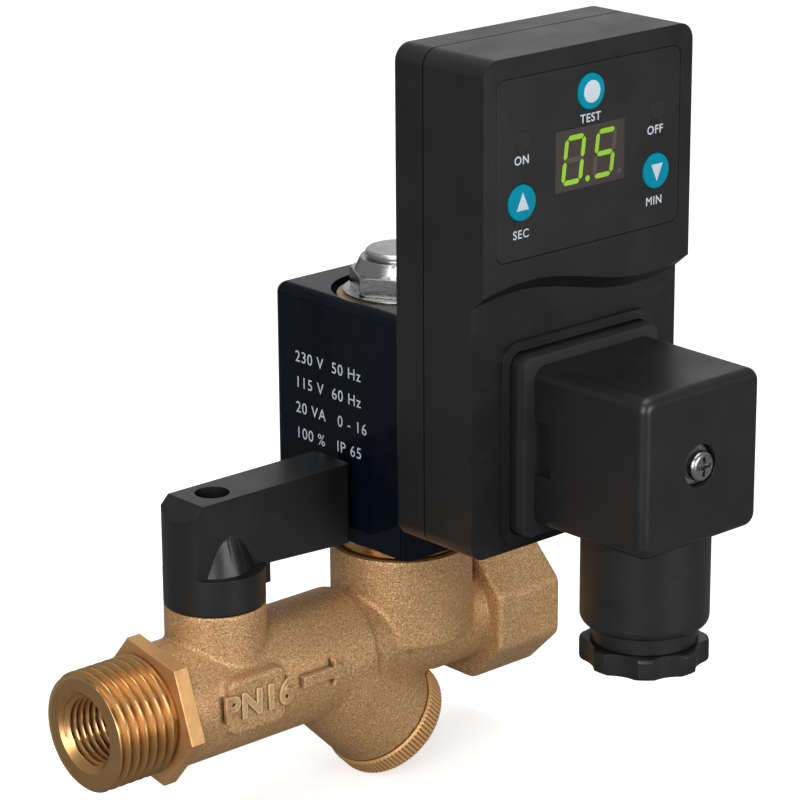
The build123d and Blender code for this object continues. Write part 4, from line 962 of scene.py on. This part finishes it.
class DRAIN_OT_display(bpy.types.Operator):
    """Display window with its slanted segments, lit and unlit"""
    bl_idname = "drain.display"
    bl_label = "Display"

    def execute(self, context):
        dress("display_window", plain_finish("display_smoke", (0.052, 0.042, 0.038), 0.16), edge=0.00008)
        low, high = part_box("display_window")
        centre = Vector(((low.x + high.x) / 2, low.y, (low.z + high.z) / 2))
        lit = glow("segment_lit", context.scene.drain_colour.lime, 0.26)
        dark = plain_finish("segment_dark", (0.085, 0.068, 0.058), 0.3)
        for offset, digit in ((-3.75, "0"), (3.35, "5")):
            for key in SEGMENTS:
                on = key in DIGITS[digit]
                self.segment(f"digit_{digit}_{key}", key, centre, offset * MM, lit if on else dark)
        self.point("digit_point", centre, -0.55 * MM, lit)
        self.point("digit_point_unlit", centre, 6.75 * MM, dark)
        return {"FINISHED"}

    def segment(self, name, key, centre, shift, material):
        """One six-sided bar between two corners of the digit's grid."""
        width, rise, half, gap, slant = 3.9 * MM, 3.65 * MM, 0.42 * MM, 0.14 * MM, 0.13
        (u0, v0), (u1, v1) = SEGMENTS[key]
        start = Vector(((u0 - 0.5) * width, (v0 - 1) * rise))
        end = Vector(((u1 - 0.5) * width, (v1 - 1) * rise))
        along = (end - start).normalized()
        across = Vector((-along.y, along.x))
        start, end = start + along * gap, end - along * gap
        ring = [start, start + along * half + across * half, end - along * half + across * half,
                end, end - along * half - across * half, start + along * half - across * half]
        outline = [(p.x + slant * p.y + shift, p.y) for p in ring]
        prism(name, outline, 0.02 * MM, front_place(*centre), material, "valve")

    def point(self, name, centre, shift, material):
        outline = [(u + shift, v - 3.65 * MM) for u, v in disc_outline(0.5 * MM, 20)]
        prism(name, outline, 0.02 * MM, front_place(*centre), material, "valve")


class DRAIN_OT_plug(bpy.types.Operator):
    """Angled cable plug with its seal, screw and gland"""
    bl_idname = "drain.plug"
    bl_label = "Cable plug"

    def execute(self, context):
        dress("plug_housing", plug_plastic(), edge=0.0003, segments=3)
        dress("plug_gasket", rubber(), edge=0.0002)
        dress("gland_nut", plug_plastic(), edge=0.0003, segments=2)
        dress("plug_screw", zinc(), edge=0.00006)
        dress("plug_screw_washer", zinc(), edge=0.00008)
        repaint(plain_finish("grey_insulator", (0.10, 0.10, 0.10), 0.45), "plug_terminal_block")
        repaint(turned_brass("contact_brass", (3000, 3000, 3000), 0.3), "plug_contacts")
        repaint(rubber(), "gland_grommet")
        repaint(plain_finish("washer_nylon", (0.5, 0.5, 0.48), 0.45), "gland_washer")
        return {"FINISHED"}


# --- studio ---------------------------------------------------------------------
def area_light(name, place, target, size, power):
    lamp = bpy.data.lights.new(name, "AREA")
    lamp.shape = "RECTANGLE"
    lamp.size, lamp.size_y = size
    lamp.energy = power
    light = bpy.data.objects.new(name, lamp)
    light.location = place
    light.rotation_euler = (Vector(target) - Vector(place)).to_track_quat("-Z", "Y").to_euler()
    bpy.context.scene.collection.objects.link(light)


class DRAIN_OT_studio(bpy.types.Operator):
    """Pale floor, soft lights and the camera"""
    bl_idname = "drain.studio"
    bl_label = "Studio"

    def execute(self, context):
        self.floor()
        self.lights()
        self.camera(context)
        return {"FINISHED"}

    def floor(self):
        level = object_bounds()[0][2] - FLOOR_GAP
        mesh = bpy.data.meshes.new("studio_floor")
        work = bmesh.new()
        bmesh.ops.create_grid(work, x_segments=2, y_segments=2, size=6.0)
        work.to_mesh(mesh)
        work.free()
        floor = bpy.data.objects.new("studio_floor", mesh)
        floor.location.z = level
        bpy.context.scene.collection.objects.link(floor)
        material = bpy.data.materials.new("studio_white")
        material.use_nodes = True
        tree = material.node_tree
        surface = tree.nodes["Principled BSDF"]
        surface.inputs["Roughness"].default_value = 0.9
        surface.inputs["Specular IOR Level"].default_value = 0.0
        path = tree.nodes.new("ShaderNodeLightPath")
        plain = blend_colour(tree, path.outputs["Is Glossy Ray"], (0.5, 0.5, 0.5, 1), (0.22, 0.22, 0.22, 1))
        seen = blend_colour(tree, path.outputs["Is Camera Ray"], plain, (0.9, 0.9, 0.9, 1))
        tree.links.new(seen, surface.inputs["Base Color"])
        surface.inputs["Emission Color"].default_value = (1, 1, 1, 1)
        shine = arithmetic(tree, "MULTIPLY", path.outputs["Is Camera Ray"], 0.55)
        tree.links.new(shine, surface.inputs["Emission Strength"])
        mesh.materials.append(material)
        floor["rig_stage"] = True

    def lights(self):
        world = bpy.data.worlds.new("studio_world")
        bpy.context.scene.world = world
        world.use_nodes = True
        tree = world.node_tree
        background = tree.nodes["Background"]
        background.inputs["Color"].default_value = (1, 1, 1, 1)
        background.inputs["Strength"].default_value = 0.30
        direct = tree.nodes.new("ShaderNodeBackground")
        direct.inputs["Color"].default_value = (1, 1, 1, 1)
        direct.inputs["Strength"].default_value = 1.0
        path = tree.nodes.new("ShaderNodeLightPath")
        choose = tree.nodes.new("ShaderNodeMixShader")
        tree.links.new(path.outputs["Is Camera Ray"], choose.inputs[0])
        tree.links.new(background.outputs[0], choose.inputs[1])
        tree.links.new(direct.outputs[0], choose.inputs[2])
        tree.links.new(choose.outputs[0], tree.nodes["World Output"].inputs["Surface"])
        target = (0.05, -0.02, 0.04)
        area_light("top_soft", (0.05, -0.05, 0.75), target, (0.6, 0.6), 3.0)
        area_light("left_soft", (-0.62, -0.42, 0.30), target, (0.5, 0.6), 4.6)
        area_light("front_soft", (0.15, -0.85, 0.12), target, (0.5, 0.4), 3.8)
        area_light("rear_soft", (0.58, 0.66, 0.34), target, (0.9, 0.4), 0.45)

    def camera(self, context):
        view = context.scene.drain_studio
        lens = bpy.data.cameras.new("studio_camera")
        lens.lens = view.lens
        lens.sensor_width = 36.0
        lens.shift_x, lens.shift_y = view.shift
        lens.clip_start = 0.01
        camera = bpy.data.objects.new("studio_camera", lens)
        context.scene.collection.objects.link(camera)
        az, el, roll = view.azimuth, view.elevation, view.roll
        back = Vector((math.sin(az) * math.cos(el), -math.cos(az) * math.cos(el), math.sin(el)))
        right = Vector((math.cos(az), math.sin(az), 0))
        up = back.cross(right)
        turned_right = math.cos(roll) * right + math.sin(roll) * up
        turned_up = -math.sin(roll) * right + math.cos(roll) * up
        columns = (turned_right, turned_up, back, view.place)
        camera.matrix_world = Matrix([[column[axis] for column in columns] for axis in range(3)] + [(0, 0, 0, 1)])
        context.scene.camera = camera
        context.scene.view_settings.view_transform = "Standard"


class DRAIN_PT_panel(bpy.types.Panel):
    """Lists the settings and the steps that dress the valve"""
    bl_idname = "DRAIN_PT_panel"
    bl_label = "Drain valve"
    bl_space_type = "VIEW_3D"
    bl_region_type = "UI"
    bl_category = "Drain valve"

    def draw(self, context):
        for step in STEPS:
            self.layout.operator(step.bl_idname)
        for group in (context.scene.drain_thread, context.scene.drain_cast, context.scene.drain_colour):
            for key in group.bl_rna.properties.keys():
                if key not in {"rna_type", "name"}:
                    self.layout.prop(group, key)


STEPS = (DRAIN_OT_cast_body, DRAIN_OT_inlet, DRAIN_OT_strainer_cap, DRAIN_OT_ball_valve, DRAIN_OT_solenoid,
         DRAIN_OT_timer_case, DRAIN_OT_panel, DRAIN_OT_display, DRAIN_OT_plug, DRAIN_OT_studio)
SETTINGS = {"drain_thread": ThreadSettings, "drain_cast": CastSettings, "drain_colour": ColourSettings,
            "drain_studio": StudioSettings}
CLASSES = tuple(SETTINGS.values()) + STEPS + (DRAIN_PT_panel,)


def register():
    for kind in CLASSES:
        bpy.utils.register_class(kind)
    for label, kind in SETTINGS.items():
        setattr(bpy.types.Scene, label, bpy.props.PointerProperty(type=kind))


def unregister():
    for label in SETTINGS:
        delattr(bpy.types.Scene, label)
    for kind in reversed(CLASSES):
        bpy.utils.unregister_class(kind)


def main():
    register()
    for step in STEPS:
        group, call = step.bl_idname.split(".")
        getattr(getattr(bpy.ops, group), call)()


if __name__ == "__main__":
    main()
